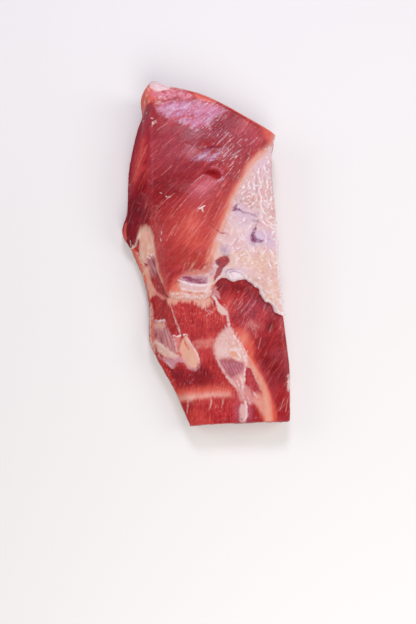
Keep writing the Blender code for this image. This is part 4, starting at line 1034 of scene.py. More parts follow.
    # pale threads over the whole sheet, brightest on the right; the rows coat set here paints highlights
    # along the fibres
    glow = oval(x, y, 24, 64, 17, 19)
    rows = threads(x, y, 52, 0.75, 3.2, 57)
    s["film"] = mix(s["film"], 0.5, 0.2 * rows * glow * lean)
    s["rows"] = (0.12 + 0.78 * glow + 0.5 * hatch) * lean * (1 - onSlope)
    s["lift"] += 0.08 * rows * glow
    rest = threads(x, y, 47, 0.8, 9, 61) * (1 - glow) * lean
    s["tone"] += 0.12 * rest * (1 - onSlope)
    s["film"] += 0.05 * rest * (1 - onSlope)
    lowRows = threads(x, y, 58, 0.75, 11, 65) * oval(x, y, -4, 10, 24, 22) * lean
    s["fat"] += 0.10 * lowRows
    s["tone"] += 0.10 * lowRows
    s["fat"] += 0.10 * lean * threads(x, y, 75, 0.9, 3, 70) * oval(x, y, -34, 12, 6, 14)
    # a dark crease under the brown zone; its darkness is painted shade
    area(s, [(1, 69.2), (4.5, 71.4), (8, 72.6), (12, 71.6), (14.6, 70), (9, 69.8), (4, 68.8)], 1.2, 0.5,
         0.95, tone=0.33, film=0.08, fat=0, white=0, rows=0, wet=0.1)
    area(s, [(3, 70), (6.4, 71.8), (12, 70.5), (8, 69.9)], 0.6, 0.3, 0.9, tone=0.26, film=0.04, white=0,
         rows=0, wet=0.1)
    line(s, [(-12, 73.4), (-4, 70), (0, 70.4)], 0.4, 1.6, 0.3, 0.6, tone=0.38, film=0.1, lift=-0.2)
    # glints and long pale fibres
    for points, width in (([(25.6, 73.4), (28.8, 77.2)], 0.8), ([(35, 73), (38, 76), (41, 79)], 0.4),
                          ([(15, 63), (22, 70)], 0.4), ([(10, 72), (18, 80)], 0.4),
                          ([(17, 72), (21, 77)], 0.4), ([(16, 47), (19, 50.6), (22.4, 55.6)], 0.4),
                          ([(-8.4, 40), (-4, 44.6), (1.4, 48.6)], 0.45), ([(9, 37), (11, 39)], 0.4),
                          ([(20, 60), (27, 68)], 0.4)):
        line(s, points, (0.4 * width, 0.1), 0.35, 0.1, 0.7, white=0.55, film=0.3, lift=0.1)
    lines(s, ([(-19.8, 2.4), (-15.6, 10), (-11.6, 16.8)], [(-25.4, -1), (-22.4, 5), (-19.6, 9.4)],
              [(-22, 3), (-19, 9), (-17.6, 12)], [(-24, 14), (-19, 20.4), (-14, 25.6)],
              [(-8, 4), (-5.4, 9), (-2.4, 13.6)], [(1.4, 15), (5, 22), (8.6, 29.4)],
              [(7.6, 14), (11, 20.6), (14.4, 28)], [(-33, 22), (-26, 29), (-20, 34)],
              [(-38, 63), (-33.4, 67.6)], [(-2, 30), (3, 36), (9, 41)], [(-30, 48), (-22, 55.6)],
              [(-12, 29), (-6, 35.6), (0, 40)], [(10, 31), (13, 36.6), (17, 42)], [(-4, 20), (-1, 25)],
              [(-16, 24), (-12, 29)], [(14, 40), (19, 47)], [(22, 45), (27, 52.4)], [(-34, 84), (-26, 90)],
              [(-30, 70), (-20, 79)]), (0.1, 0.0), 0.4, 0.12, 0.6, tone=0.9, fat=0.42, cream=0.7,
          white=0.06, lift=0.05)
    # a pit under a thin pale lip; its dark tone is painted shade in the recess
    area(s, [(0, 49), (4, 52), (8, 53), (11.6, 51.6), (13.8, 48.6), (12.4, 46.2), (9, 46.2), (5, 48)], 1.0,
         0.3, 0.9, tone=0.42, film=0, warm=0, white=0, rows=0, wet=0, fat=0, lift=-0.4)
    spot(s, (8, 50.4), (3.6, 1.4), turn=-14, tone=0.24, rows=0, film=0, strength=0.95)
    spot(s, (4.4, 50.4), (2.4, 0.9), turn=20, tone=0.26, strength=0.8)
    line(s, [(6, 54.2), (10, 54), (13.4, 51.6), (14.8, 49.2)], 0.5, 0.7, 0, 0.5, film=0.45, tone=0.7,
         lift=0.3)
    spots(s, ((13.4, 45.4), (14.4, 47), (11.8, 44.6), (15.2, 45.6)), (0.9, 0.5), turn=40, film=0.6,
          white=0.35, stain=0.5, strength=0.8)
    # flecks
    lines(s, ([(-30.8, 34.4), (-29.4, 33.6)], [(-26.4, 31.4), (-25, 30.6), (-24.4, 31.8)],
              [(-25, 30.6), (-25.6, 29.2)], [(-24.4, 30.4), (-22.8, 31.4)], [(-29.6, 4), (-29.3, 6)],
              [(-30, 1.2), (-29.7, -1)], [(14.2, 59.2), (14.8, 58.8)], [(-54, 2), (-54.2, 5)],
              [(-56.2, 1), (-55.4, 1.6)], [(-50.4, 2.2), (-49.4, 2.6)], [(-52, 0.8), (-51, 0.4)]),
          (0.35, 0.2), 0.35, 0.2, 0.8, fat=0.5, white=0.55, film=0, lift=0.2)
    lines(s, ([(-0.4, 23.0), (-1.6, 22.0), (-3.2, 22.3)], [(-0.4, 22.6), (0.6, 23.6), (1.8, 24.2)],
              [(-0.2, 22.4), (0.0, 21), (0.7, 19.4)]), (0.7, 0.3), 0.35, 0.2, 0.85, white=0.8, fat=0.5,
          film=0, lift=0.2)
    lines(s, ([(-38, 16), (-35, 20), (-31, 21)], [(-32, 17), (-31, 14)], [(-34, 24), (-29, 27)],
              [(-4, -9), (-1, -13)], [(-2, -9), (0, -12)], [(-45, 36), (-41, 33)], [(-48, 30), (-44, 27)],
              [(-40, 45), (-37, 41)]), 0.2, 0.6, 0.2, 0.3, fat=0.3, cream=0.4, film=0.2, lift=0.1)
    # vessel that runs out on to the fat, and a pale streak over the third rib
    vessel(s)
    line(s, [(2, -20), (2, -28)], 1.4, 1.4, fat=0.7, cream=0.6, strength=0.8)
    # wisps where the sheet thins out at its lower end
    wisps = threads(x, y, 66, 0.8, 4, 69) * np.exp(-((lower - 5) / 4) ** 2) * ease((x + 16) / 6)
    s["fat"] += 0.35 * wisps
    return s


def paintCut(sheet, run, depth, height):
    # a cut side: bundles of lean in layers, with seams of fat; depth is 0 at the top edge and 1 at the foot
    share = ease(depth / 0.18)
    down = depth * height
    flat = 0 * run
    seam = 0.40 + 0.10 * softNoise(run / 24, flat, 84) + 0.03 * softNoise(run / 6, flat, 87)
    layers = softNoise(run / 18, (depth - seam) * height / 3.4 + 40, 81)
    bundles = 0.6 * softNoise(run / 1.9, down / 1.2 + 40, 82)
    bundles = bundles + 0.4 * softNoise(run / 1.0, down / 0.8 + 40, 83)
    layAll(sheet, share, tone=0.45 + 0.20 * layers + 0.16 * bundles, film=0.06, fat=0.0, warm=0.08, white=0,
           rows=0.1, stain=0, cream=0.5, wet=0.4)
    for place, seed, thickest in ((seam, 85, 0.9),
                                  (seam + 0.24 + 0.05 * softNoise(run / 9, flat, 88), 86, 0.45)):
        swelling = softNoise(run / 12, flat, seed) + 0.35 + 0.4 * softNoise(run / 3, flat, seed + 20)
        thick = np.maximum(thickest * swelling, 0)
        vein = ease((thick - np.abs(depth - place) * height) / 0.9 + 0.5) * ease(thick / 0.3)
        layAll(sheet, share * vein * 0.75, fat=0.8, cream=0.55)
    marbling = ease((softNoise(run / 4.5 + down / 6, down / 0.9 + 40, 89) - 0.45) / 0.3)
    layAll(sheet, share * marbling * 0.4, fat=0.6, cream=0.4)


def paintFatCut(sheet, run, depth, height, share):
    # the fat where it was sawn through: smooth and waxy, in pale layers
    down = depth * height
    layers = softNoise(run / 14, down / 1.5 + 40, 96)
    smears = fibres(run, down + 40, 12, 0.9, 6, 97)
    layAll(sheet, share * ease(depth / 0.2), fat=0.94, tone=0.8, warm=0.3, cream=0.45 + 0.3 * layers,
           white=0.12 + 0.25 * np.clip(smears, 0, 1), film=0.05, stain=0, rows=0.12)


def paintUnderside(x, y):
    # lean between the ribs under a thin shining membrane
    s = newSheet(x, y, tone=0.48, film=0.22, wet=0.9, cream=0.5)
    x, y = s["x"], s["y"]
    streak = fibres(x, y, 128, 1.4, 12, 91)
    s["tone"] += 0.16 * streak + 0.08 * softNoise(x / 8, y / 8, 92)
    s["lift"] += 0.08 * streak
    s["film"] += 0.16 * softNoise(x / 5, y / 5, 93)
    rim = np.minimum(distanceTo(side["left"], x, y), distanceTo(side["thickEnd"], x, y))
    patches = ease((softNoise(x / 7, y / 5, 94) - 0.15) / 0.4)
    layAll(s, 0.7 * patches * ease((16 - rim) / 10), fat=0.85, cream=0.55, film=0.1)
    return s


print("paint and forms ready")


def patch(lower, upper, left, right, shareAcross, shareAlong):
    # places on a four-sided patch between its edges
    def at(path, share):
        return np.column_stack([np.interp(share, np.linspace(0, 1, len(path)), path[:, k]) for k in (0, 1)])

    low, high = at(lower, shareAcross), at(upper, shareAcross)
    near, far = at(left, shareAlong), at(right, shareAlong)
    s = shareAcross[None, :, None]
    t = shareAlong[:, None, None]
    flat = (1 - s) * near[:, None, :] + s * far[:, None, :] + (1 - t) * low[None] + t * high[None]
    corners = (1 - s) * (1 - t) * low[0] + s * (1 - t) * low[-1] + (1 - s) * t * high[0] + s * t * high[-1]
    flat = flat - corners
    return flat[..., 0], flat[..., 1]


def rimOf(grid):
    return np.concatenate([grid[0, :], grid[1:, -1], grid[-1, -2::-1], grid[-2:0:-1, 0]])


def gridFaces(grid, upward):
    corners = [grid[:-1, :-1], grid[:-1, 1:], grid[1:, 1:], grid[1:, :-1]]
    quads = np.column_stack([corner.ravel() for corner in corners])
    return (quads if upward else quads[:, ::-1]).tolist()


lowerFaceScale = 0.994     # the lower face keeps its border just inside the wall's foot


def closedShell(x, y, top, underside, wallShares, coarse, wallPush):
    # a fine upper face, a wall in rings round it, and a coarser lower face
    upper = np.arange(x.size).reshape(x.shape)
    rim = rimOf(upper)
    count = len(rim)
    rimX, rimY = x.ravel()[rim], y.ravel()[rim]
    border = np.column_stack([rimX, rimY])
    along = np.roll(border, -1, 0) - np.roll(border, 1, 0)
    outward = np.column_stack([along[:, 1], -along[:, 0]])
    outward /= np.maximum(np.hypot(*outward.T), 1e-9)[:, None]
    run = np.append(0, np.cumsum(np.hypot(np.diff(rimX), np.diff(rimY))))
    topZ = top.ravel()[rim]
    footZ = underside(rimX, rimY)
    points = [np.column_stack([x.ravel(), y.ravel(), top.ravel()])]
    faces = gridFaces(upper, True)
    walls = []
    last = rim
    for share in wallShares:
        push = wallPush(run, share)[:, None] * outward
        points.append(np.column_stack([rimX + push[:, 0], rimY + push[:, 1], mix(topZ, footZ, share)]))
        ring = np.arange(count) + x.size + len(walls) * count
        ahead = np.roll(ring, -1)
        faces += np.column_stack([ring, ahead, np.roll(last, -1), last]).tolist()
        walls.append((run, np.full(count, share)))
        last = ring
    inner = upper[::coarse, ::coarse]
    lowX, lowY = x[::coarse, ::coarse], y[::coarse, ::coarse]
    lowX = rimX.mean() + (lowX - rimX.mean()) * lowerFaceScale
    lowY = rimY.mean() + (lowY - rimY.mean()) * lowerFaceScale
    firstLow = x.size + len(wallShares) * count
    lower = np.arange(inner.size).reshape(inner.shape) + firstLow
    points.append(np.column_stack([lowX.ravel(), lowY.ravel(), underside(lowX.ravel(), lowY.ravel())]))
    faces += gridFaces(lower, False)
    lowRim = rimOf(lower)
    for k in range(len(lowRim)):
        a, b = lowRim[k], lowRim[(k + 1) % len(lowRim)]
        stretch = [last[(k * coarse + step) % count] for step in range(coarse + 1)]
        faces.append([int(a), int(b)] + [int(v) for v in stretch[::-1]])
    return np.vstack(points), faces, rim, walls


sharpAngle = {"meat": 75, "bone": 60}


def makeMesh(name, points, faces, sheet, grain, material):
    mesh = bpy.data.meshes.new(name)
    mesh.from_pydata((points * mm).tolist(), [], faces)
    for coat in coats:
        layer = mesh.attributes.new(coat, "FLOAT", "POINT")
        layer.data.foreach_set("value", np.clip(sheet[coat], 0, 1).astype(np.float32))
    layer = mesh.attributes.new("grain", "FLOAT_VECTOR", "POINT")
    layer.data.foreach_set("vector", grain.astype(np.float32).ravel())
    mesh.shade_smooth()
    mesh.set_sharp_from_angle(angle=math.radians(sharpAngle["meat"]))
    piece = bpy.data.objects.new(name, mesh)
    bpy.context.scene.collection.objects.link(piece)
    mesh.materials.append(material)
    return piece


def rimSheet(face, rim):
    return {coat: face[coat][rim].copy() for coat in coats + ["lift"]}


def joinSheets(sheets):
    return {coat: np.concatenate([sheet[coat] for sheet in sheets]) for coat in coats + ["lift"]}


def grainAt(x, y, z, angle, stretch=14.0):
    # fibre coordinates: across, along and up; the length is squeezed so that noise draws out
    turn = np.radians(angle)
    across = -x * np.sin(turn) + y * np.cos(turn)
    along = x * np.cos(turn) + y * np.sin(turn)
    return np.column_stack([across, along / stretch, z])


# colours of the meat; the ramp gives lean its colour by its tone
looks = {
    "ramp": [(0.0, (0.07, 0.001, 0.003)), (0.25, (0.20, 0.004, 0.008)), (0.5, (0.36, 0.016, 0.022)),
             (0.75, (0.54, 0.042, 0.042)), (1.0, (0.71, 0.14, 0.105))],
    # white also colours the painted highlights; the colour for the fat's hollows is painted shade
    "warm": (0.76, 0.14, 0.085), "film": (0.64, 0.27, 0.45), "coolFilmAndSheen": (0.46, 0.22, 0.56),
    "pinkFat": (0.745, 0.48, 0.525), "creamFat": (0.76, 0.505, 0.37), "coolFat": (0.58, 0.47, 0.70),
    "shadeInHollows": (0.60, 0.32, 0.30), "stain": (0.20, 0.035, 0.12), "white": (0.92, 0.85, 0.90),
    "gloss": 0.46, "coat": 0.22, "coatRoughness": 0.12, "wetSmooths": -0.16, "bumpDepth": 0.0006,
    "light": {"Subsurface Weight": 0.12, "Subsurface Scale": 0.002, "Subsurface Radius": (1.0, 0.35, 0.25)},
}


def wetMeat(name, roughness, fibreBump, lumpBump, contrast, torn, fatBlush=0.0, curls=0.0):
    made = bpy.data.materials.new(name)
    made.use_nodes = True
    tree = made.node_tree
    shader = tree.nodes["Principled BSDF"]

    def node(kind, **settings):
        new = tree.nodes.new(kind)
        for key, value in settings.items():
            setattr(new, key, value)
        return new

    def join(output, socket):
        tree.links.new(output, socket)

    def coat(attribute):
        return node("ShaderNodeAttribute", attribute_name=attribute).outputs["Fac"]

    def sums(operation, first, second, third=None, clamp=False):
        step = node("ShaderNodeMath", operation=operation, use_clamp=clamp)
        for place, value in enumerate((first, second, third)):
            if value is None:
                continue
            if isinstance(value, (int, float)):
                step.inputs[place].default_value = value
            else:
                join(value, step.inputs[place])
        return step.outputs[0]

    def noise(vector, scale, detail=3.0, rough=0.55, distortion=0.0):
        made = node("ShaderNodeTexNoise")
        made.inputs["Distortion"].default_value = distortion
        made.inputs["Scale"].default_value = scale
        made.inputs["Detail"].default_value = detail
        made.inputs["Roughness"].default_value = rough
        join(vector, made.inputs["Vector"])
        return made.outputs["Fac"]

    def blend(first, second, share):
        step = node("ShaderNodeMix", data_type="RGBA")
        for socket, value in ((step.inputs[6], first), (step.inputs[7], second)):
            if isinstance(value, tuple):
                socket.default_value = value + (1,)
            else:
                join(value, socket)
        join(share, step.inputs[0])
        return step.outputs[2]

    grain = node("ShaderNodeAttribute", attribute_name="grain").outputs["Vector"]
    place = node("ShaderNodeTexCoord").outputs["Object"]
    thread = noise(grain, 1.5, 3)          # fibre bundles
    thin = noise(grain, 4.0, 2)            # single fibres
    cloud = noise(place, 160, 4)           # mottling of about 6 mm
    speck = noise(place, 1400, 3)          # fine sparkle of moisture
    tone = sums("ADD", coat("tone"), sums("MULTIPLY_ADD", thread, contrast, -contrast / 2))
    tone = sums("ADD", tone, sums("MULTIPLY_ADD", thin, 0.5, -0.25))
    tone = sums("ADD", tone, sums("MULTIPLY_ADD", speck, 0.3, -0.15))
    tone = sums("ADD", tone, sums("MULTIPLY_ADD", cloud, 0.3, -0.15), clamp=True)
    ramp = node("ShaderNodeValToRGB")
    stops = ramp.color_ramp.elements
    while len(stops) < len(looks["ramp"]):
        stops.new(0.5)
    for stop, (position, colour) in zip(stops, looks["ramp"]):
        stop.position = position
        stop.color = colour + (1,)
    join(tone, ramp.inputs["Fac"])
    warm = sums("MULTIPLY", coat("warm"), sums("MULTIPLY_ADD", thread, 0.5, 0.72), clamp=True)
    colour = blend(ramp.outputs["Color"], looks["warm"], warm)
    filmShare = sums("MULTIPLY", coat("film"), sums("MULTIPLY_ADD", thin, 0.9, 0.45), clamp=True)
    colour = blend(colour, blend(looks["film"], looks["coolFilmAndSheen"], coat("stain")), filmShare)
    cream = sums("ADD", coat("cream"), sums("MULTIPLY_ADD", cloud, 0.7, -0.35), clamp=True)
    fatColour = blend(looks["pinkFat"], looks["creamFat"], cream)
    if fatBlush:
        fatColour = blend(fatColour, looks["coolFat"], sums("MULTIPLY", coat("film"), fatBlush, clamp=True))
    if curls:
        # thin curled ridges lit white, a painted highlight, with painted shade in the pink hollows between
        # them
        curl = noise(place, 330, 2, 0.5, 1.3)
        fromRidge = sums("ABSOLUTE", sums("SUBTRACT", curl, 0.5), None)
        bright = sums("SUBTRACT", 1.0, sums("MULTIPLY", fromRidge, 17.0, clamp=True))
        hollowShadeShare = sums("MULTIPLY_ADD", curl, -6.0, 2.8, True)
        hollowShadeShare = sums("MULTIPLY", coat("rows"), sums("MULTIPLY", hollowShadeShare, 0.7))
        fatColour = blend(fatColour, looks["shadeInHollows"], hollowShadeShare)
    else:
        # broken rows of light along the fibres
        drawn = node("ShaderNodeVectorMath", operation="MULTIPLY")
        join(grain, drawn.inputs[0])
        drawn.inputs[1].default_value = (1.15, 3.0, 0.4)
        bright = sums("MULTIPLY_ADD", noise(drawn.outputs[0], 1.0, 2), 7.0, -4.1, True)
    purple = sums("MULTIPLY", coat("stain"), sums("MULTIPLY_ADD", speck, 0.6, 0.75), clamp=True)
    fatColour = blend(fatColour, looks["stain"], purple)
    fatEdge = sums("MULTIPLY", sums("SUBTRACT", 1.0, coat("fat")), coat("fat"))
    fraying = sums("MULTIPLY", fatEdge, sums("MULTIPLY_ADD", thread, 2 * torn, -torn))
    fatShare = sums("ADD", coat("fat"), fraying, clamp=True)
    colour = blend(colour, fatColour, fatShare)
    glint = sums("MULTIPLY", coat("film"), sums("MULTIPLY_ADD", speck, 5.0, -2.9, True), clamp=True)
    shine = sums("ADD", coat("white"), sums("MULTIPLY", glint, 0.5), clamp=True)
    rowShine = sums("MULTIPLY", coat("rows"), sums("MULTIPLY", bright, 0.95 if curls else 0.7))
    shine = sums("ADD", shine, rowShine, clamp=True)
    colour = blend(colour, looks["white"], shine)
    join(colour, shader.inputs["Base Color"])
    rough = sums("MULTIPLY_ADD", coat("wet"), looks["wetSmooths"], roughness)
    rough = sums("ADD", rough, sums("MULTIPLY_ADD", speck, 0.24, -0.12), clamp=True)
    join(rough, shader.inputs["Roughness"])
    height = sums("ADD", sums("MULTIPLY", thin, fibreBump), sums("MULTIPLY", speck, lumpBump))
    if curls:
        height = sums("ADD", height, sums("MULTIPLY", coat("rows"), sums("MULTIPLY", bright, curls)))
    bump = node("ShaderNodeBump")
    bump.inputs["Strength"].default_value = 0.6 if curls else 0.5
    bump.inputs["Distance"].default_value = looks["bumpDepth"]
    join(height, bump.inputs["Height"])
    join(bump.outputs["Normal"], shader.inputs["Normal"])
    join(sums("MULTIPLY", coat("wet"), looks["gloss"]), shader.inputs["Specular IOR Level"])
    join(sums("MULTIPLY", coat("wet"), looks["coat"]), shader.inputs["Coat Weight"])
    shader.inputs["Coat Roughness"].default_value = looks["coatRoughness"]
    for socket, value in looks["light"].items():
        shader.inputs[socket].default_value = value
    return made


slabMeat = wetMeat("slab_meat", 0.46, 0.6, 0.4, 0.5, 0.5)
coverFat = wetMeat("cover_fat", 0.48, 0.2, 0.35, 0.5, 0.5, 1.0, 1.5)
topMeat = wetMeat("top_meat", 0.44, 0.6, 0.4, 0.5, 0.9)
print("materials ready")

slabMesh = {"across": 190, "rowsShown": 200, "rowsHidden": 150, "shownShare": 0.43, "coarse": 5,
            "underside": 1.0, "underRibs": 0.5, "wallRings": 22,
            "bulge": 0.9, "bulgeChange": 0.5, "wallGrain": 0.25, "footInset": 1.4,
            "grainLeft": 84.0, "grainRight": 62.0}


def slabWall(run, share):
    # how far a side stands out, from the top edge (share 0) to the foot (1)
    m = slabMesh
    uneven = 1 + m["bulgeChange"] * softNoise(run / 12, run * 0 + share, 101)
    bulge = m["bulge"] * math.sin(math.pi * share ** 0.8) * uneven
    grain = m["wallGrain"] * softNoise(run / 1.6, run * 0 + share * 6, 102)
    fine = grain * math.sin(math.pi * min(share * 1.1, 1))
    return bulge + fine - m["footInset"] * share ** 6


def makeSlab():
    m = slabMesh
    shown = np.linspace(0, m["shownShare"], m["rowsShown"] + 1)
    hidden = np.linspace(m["shownShare"], 1, m["rowsHidden"] + 1)[1:]
    x, y = patch(side["thinEnd"], side["thickEnd"], side["left"], side["sawn"],
                 np.linspace(0, 1, m["across"] + 1), np.concatenate([shown, hidden]))
    face = paintSlab(x, y)
    top = slabTop(x, y)
    showing = ease((fatEdgeY(x) + 4 - y) / 4)
    top = top + face["lift"].reshape(x.shape) * showing

    def underside(px, py):
        rim = np.minimum(distanceTo(side["left"], px, py), distanceTo(side["sawn"], px, py))
        belly = 0.9 * softNoise(px / 11, py / 9, 103) + 0.3 * softNoise(px / 3, py / 3, 104)
        return m["underside"] + m["underRibs"] + (0.35 * belly) * ease(rim / 6)

    shares = np.linspace(0, 1, m["wallRings"] + 1)[1:]
    points, faces, rim, walls = closedShell(x, y, top, underside, shares, m["coarse"], slabWall)
    sheets = [face]
    for run, depth in walls:
        ring = rimSheet(face, rim)
        paintCut(ring, run, depth, top.ravel()[rim] - m["underside"])
        sheets.append(ring)
    low = points[x.size + len(walls) * len(rim):]
    sheets.append(paintUnderside(low[:, 0], low[:, 1]))
    sheet = joinSheets(sheets)
    right = points[:, 0] > grainBorder(points[:, 1]) + 2
    angle = np.where(right, m["grainRight"], m["grainLeft"])
    grain = grainAt(points[:, 0], points[:, 1], points[:, 2], angle)
    piece = makeMesh("slabMeat", points, faces, sheet, grain, slabMeat)
    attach(piece, "root")
    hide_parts("rib_slab")


makeSlab()
print("slab made")

fatMesh = {"across": 208, "along": 304, "coarse": 8, "wall": (0.12, 0.3, 0.5, 0.7, 0.88, 1.0),
           "overlap": 0.4, "ragged": 1.2, "bulge": 0.35, "wallGrain": 0.3, "leftDip": 0.45,
           "grain": 60.0, "grainStretch": 1.6}


def makeFat():
    m = fatMesh
    x, y = patch(side["fatLower"], side["fatThick"], side["fatHidden"], side["fatSawn"],
                 np.linspace(0, 1, m["across"] + 1), np.linspace(0, 1, m["along"] + 1))
    # shreds of fat past the sawn side, on the last three columns
    toSawn = np.arange(m["across"], -1, -1)[None, :] + 0 * y
    shreds = m["ragged"] * np.clip(softNoise(y / 0.8, y * 0 + 3, 113) - 0.15, 0, 1)
    x = x + shreds * ease(1 - toSawn / 3.0) * ease((24 - y) / 10)
    face = paintFat(x, y)
    slab = slabTop(x, y)
    top = fatTop(x, y, slab) + face["lift"].reshape(x.shape) * ease(distanceTo(side["fatHidden"], x, y) / 3)
    # its lower edge sinks into the slab on the left
    top -= m["leftDip"] * (1 - ease(distanceTo(side["fatLower"], x, y) / 2.2)) * ease((7 - x) / 4)

    def underside(px, py):
        return slabTop(px, py) - m["overlap"]

    def wallPush(run, share):
        uneven = 1 + softNoise(run / 1.7, run * 0 + share * 3, 111)
        nicks = m["wallGrain"] * softNoise(run / 0.9, run * 0, 112) * (1 - share)
        return m["bulge"] * math.sin(math.pi * share) * uneven + nicks

    points, faces, rim, walls = closedShell(x, y, top, underside, m["wall"], m["coarse"], wallPush)
    sheets = [face]
    rimX, rimY = x.ravel()[rim], y.ravel()[rim]
    sawn = ease((distanceTo(side["fatLower"], rimX, rimY) - 1) / 3)
    frayed = (1 - sawn) * ease((6 - rimX) / 3) * ease((rimX + 27) / 3)
    for run, depth in walls:
        ring = rimSheet(face, rim)
        paintFatCut(ring, run, depth, (top - slab).ravel()[rim], sawn)
        layAll(ring, frayed, fat=0.5, cream=0.95, warm=0.9, tone=0.75)
        sheets.append(ring)
    low = points[x.size + len(walls) * len(rim):]
    sheets.append(newSheet(low[:, 0], low[:, 1], fat=1, cream=0.5))
    grain = grainAt(points[:, 0], points[:, 1], points[:, 2], m["grain"], m["grainStretch"])
    piece = makeMesh("fatCover", points, faces, joinSheets(sheets), grain, coverFat)
    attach(piece, "root")
    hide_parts("fat_cover")


makeFat()
print("fat cover made")

muscleMesh = {"across": 240, "along": 352, "coarse": 8, "wall": (0.08, 0.2, 0.36, 0.54, 0.72, 0.88, 1.0),
              "tuck": 0.5, "freeSink": 1.2, "endSink": 0.5, "bulge": 0.5, "wallGrain": 0.2, "cutHeight": 12.0,
              "grainSlope": 74.0, "grainRight": 57.0, "grainMiddle": 48.0}


def makeMuscle():
    m = muscleMesh
    x, y = patch(side["muscleLower"], side["thickEnd"], side["muscleLeft"], side["muscleFading"],
                 np.linspace(0, 1, m["across"] + 1), np.linspace(0, 1, m["along"] + 1))
    freeEdge = np.minimum(distanceTo(side["muscleFading"], x, y), distanceTo(side["muscleLower"], x, y))
    face = paintMuscle(x, y)
    under = fatLevel(x, y, slabTop(x, y)) + clearance
    tuck = m["tuck"] * (1 - ease(freeEdge / 2.5)) * ease((x + 48) / 6)
    top = muscleTop(x, y, under, freeEdge) - tuck + face["lift"].reshape(x.shape)

    def underside(px, py):
        free = np.minimum(distanceTo(side["muscleFading"], px, py), distanceTo(side["muscleLower"], px, py))
        slab = slabTop(px, py)
        thick = distanceTo(side["thickEnd"], px, py)
        level = fatLevel(px, py, slab) + clearance - m["freeSink"] * (1 - ease(free / 4))
        level = level - m["endSink"] * (1 - ease(thick / 2))
        besideFat = ease((np.interp(py, side["fatHidden"][:, 1], side["fatHidden"][:, 0]) - px) / 1.5)
        return mix(level, np.minimum(level, slab + 0.1), besideFat)

    def wallPush(run, share):
        grain = m["wallGrain"] * softNoise(run / 1.3, run * 0 + share * 4, 121)
        return m["bulge"] * math.sin(math.pi * share) + grain * math.sin(math.pi * min(share + 0.2, 1))

    points, faces, rim, walls = closedShell(x, y, top, underside, m["wall"], m["coarse"], wallPush)
    sheets = [face]
    bare = ease((freeEdge.ravel()[rim] - 3) / 4)
    for run, depth in walls:
        ring = rimSheet(face, rim)
        cut = rimSheet(face, rim)
        paintCut(cut, run, depth, m["cutHeight"])
        for coat in coats:
            ring[coat] = mix(ring[coat], cut[coat], bare)
        sheets.append(ring)
    low = points[x.size + len(walls) * len(rim):]
    sheets.append(newSheet(low[:, 0], low[:, 1], fat=0.6, cream=0.5, tone=0.5))
    px, py = points[:, 0], points[:, 1]
    angle = np.where(mix(47.0, 58.0, rightPart(px, py)) > 52, m["grainRight"], m["grainMiddle"])
    angle = np.where(px < -38, m["grainSlope"], angle)
    grain = grainAt(px, py, points[:, 2], angle)
    piece = makeMesh("topMuscle", points, faces, joinSheets(sheets), grain, topMeat)
    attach(piece, "root")
    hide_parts("top_muscle")


makeMuscle()
print("top muscle made")

ribs = {"places": [(-110, 12.4), (-75.5, 12.8), (-41, 13), (-6, 12.8), (29, 12.4), (63.5, 12), (97.5, 11.4)],
        "height": 7.2, "slant": -0.03, "bow": 1.6, "start": 13, "steps": 90, "tipSteps": 12, "round": 32,
        "tip": 5.0, "squareness": 2.6, "wobble": 0.035, "sawnOut": 0.4,
        # the sawn end: how far in, how deep and how much marrow
        "sawnRings": ((0.94, 0.05, 0.0), (0.80, 0.05, 0.15), (0.72, -0.15, 1.0), (0.5, -0.3, 1.0),
                      (0.25, -0.3, 1.0)),
        "bone": ((0.42, (0.76, 0.60, 0.47)), (0.66, (0.55, 0.20, 0.17))),
        "marrow": ((0.38, (0.16, 0.015, 0.02)), (0.6, (0.50, 0.16, 0.13))),
        "blood": 220, "pores": 1300, "bump": 0.35, "bumpDepth": 0.0005,
        "gloss": {"Roughness": 0.42, "Coat Weight": 0.25, "Coat Roughness": 0.2}}


def boneMaterial():
    made = bpy.data.materials.new("rib_bone")
    made.use_nodes = True
    tree = made.node_tree
    shader = tree.nodes["Principled BSDF"]
    links = tree.links
    place = tree.nodes.new("ShaderNodeTexCoord").outputs["Object"]

    def mottle(scale, detail, stops):
        # noise, and its two colours
        noise = tree.nodes.new("ShaderNodeTexNoise")
        noise.inputs["Scale"].default_value = scale
        noise.inputs["Detail"].default_value = detail
        ramp = tree.nodes.new("ShaderNodeValToRGB")
        for stop, (position, colour) in zip(ramp.color_ramp.elements, stops):
            stop.position = position
            stop.color = colour + (1,)
        links.new(place, noise.inputs["Vector"])
        links.new(noise.outputs["Fac"], ramp.inputs["Fac"])
        return noise.outputs["Fac"], ramp.outputs["Color"]

    marrow = tree.nodes.new("ShaderNodeAttribute")
    marrow.attribute_name = "marrow"
    boneColour = mottle(ribs["blood"], 5, ribs["bone"])[1]
    pores, marrowColour = mottle(ribs["pores"], 2, ribs["marrow"])
    both = tree.nodes.new("ShaderNodeMix")
    both.data_type = "RGBA"
    bump = tree.nodes.new("ShaderNodeBump")
    bump.inputs["Strength"].default_value = ribs["bump"]
    bump.inputs["Distance"].default_value = ribs["bumpDepth"]
    links.new(marrow.outputs["Fac"], both.inputs[0])
    links.new(boneColour, both.inputs[6])
    links.new(marrowColour, both.inputs[7])
    links.new(both.outputs[2], shader.inputs["Base Color"])
    links.new(pores, bump.inputs["Height"])
    links.new(bump.outputs["Normal"], shader.inputs["Normal"])
    for socket, value in ribs["gloss"].items():
        shader.inputs[socket].default_value = value
    return made


def outlineX(y):
    right = np.vstack([side["sawn"], side["thickEnd"][::-1][1:]])
    return np.interp(y, right[:, 1], right[:, 0])


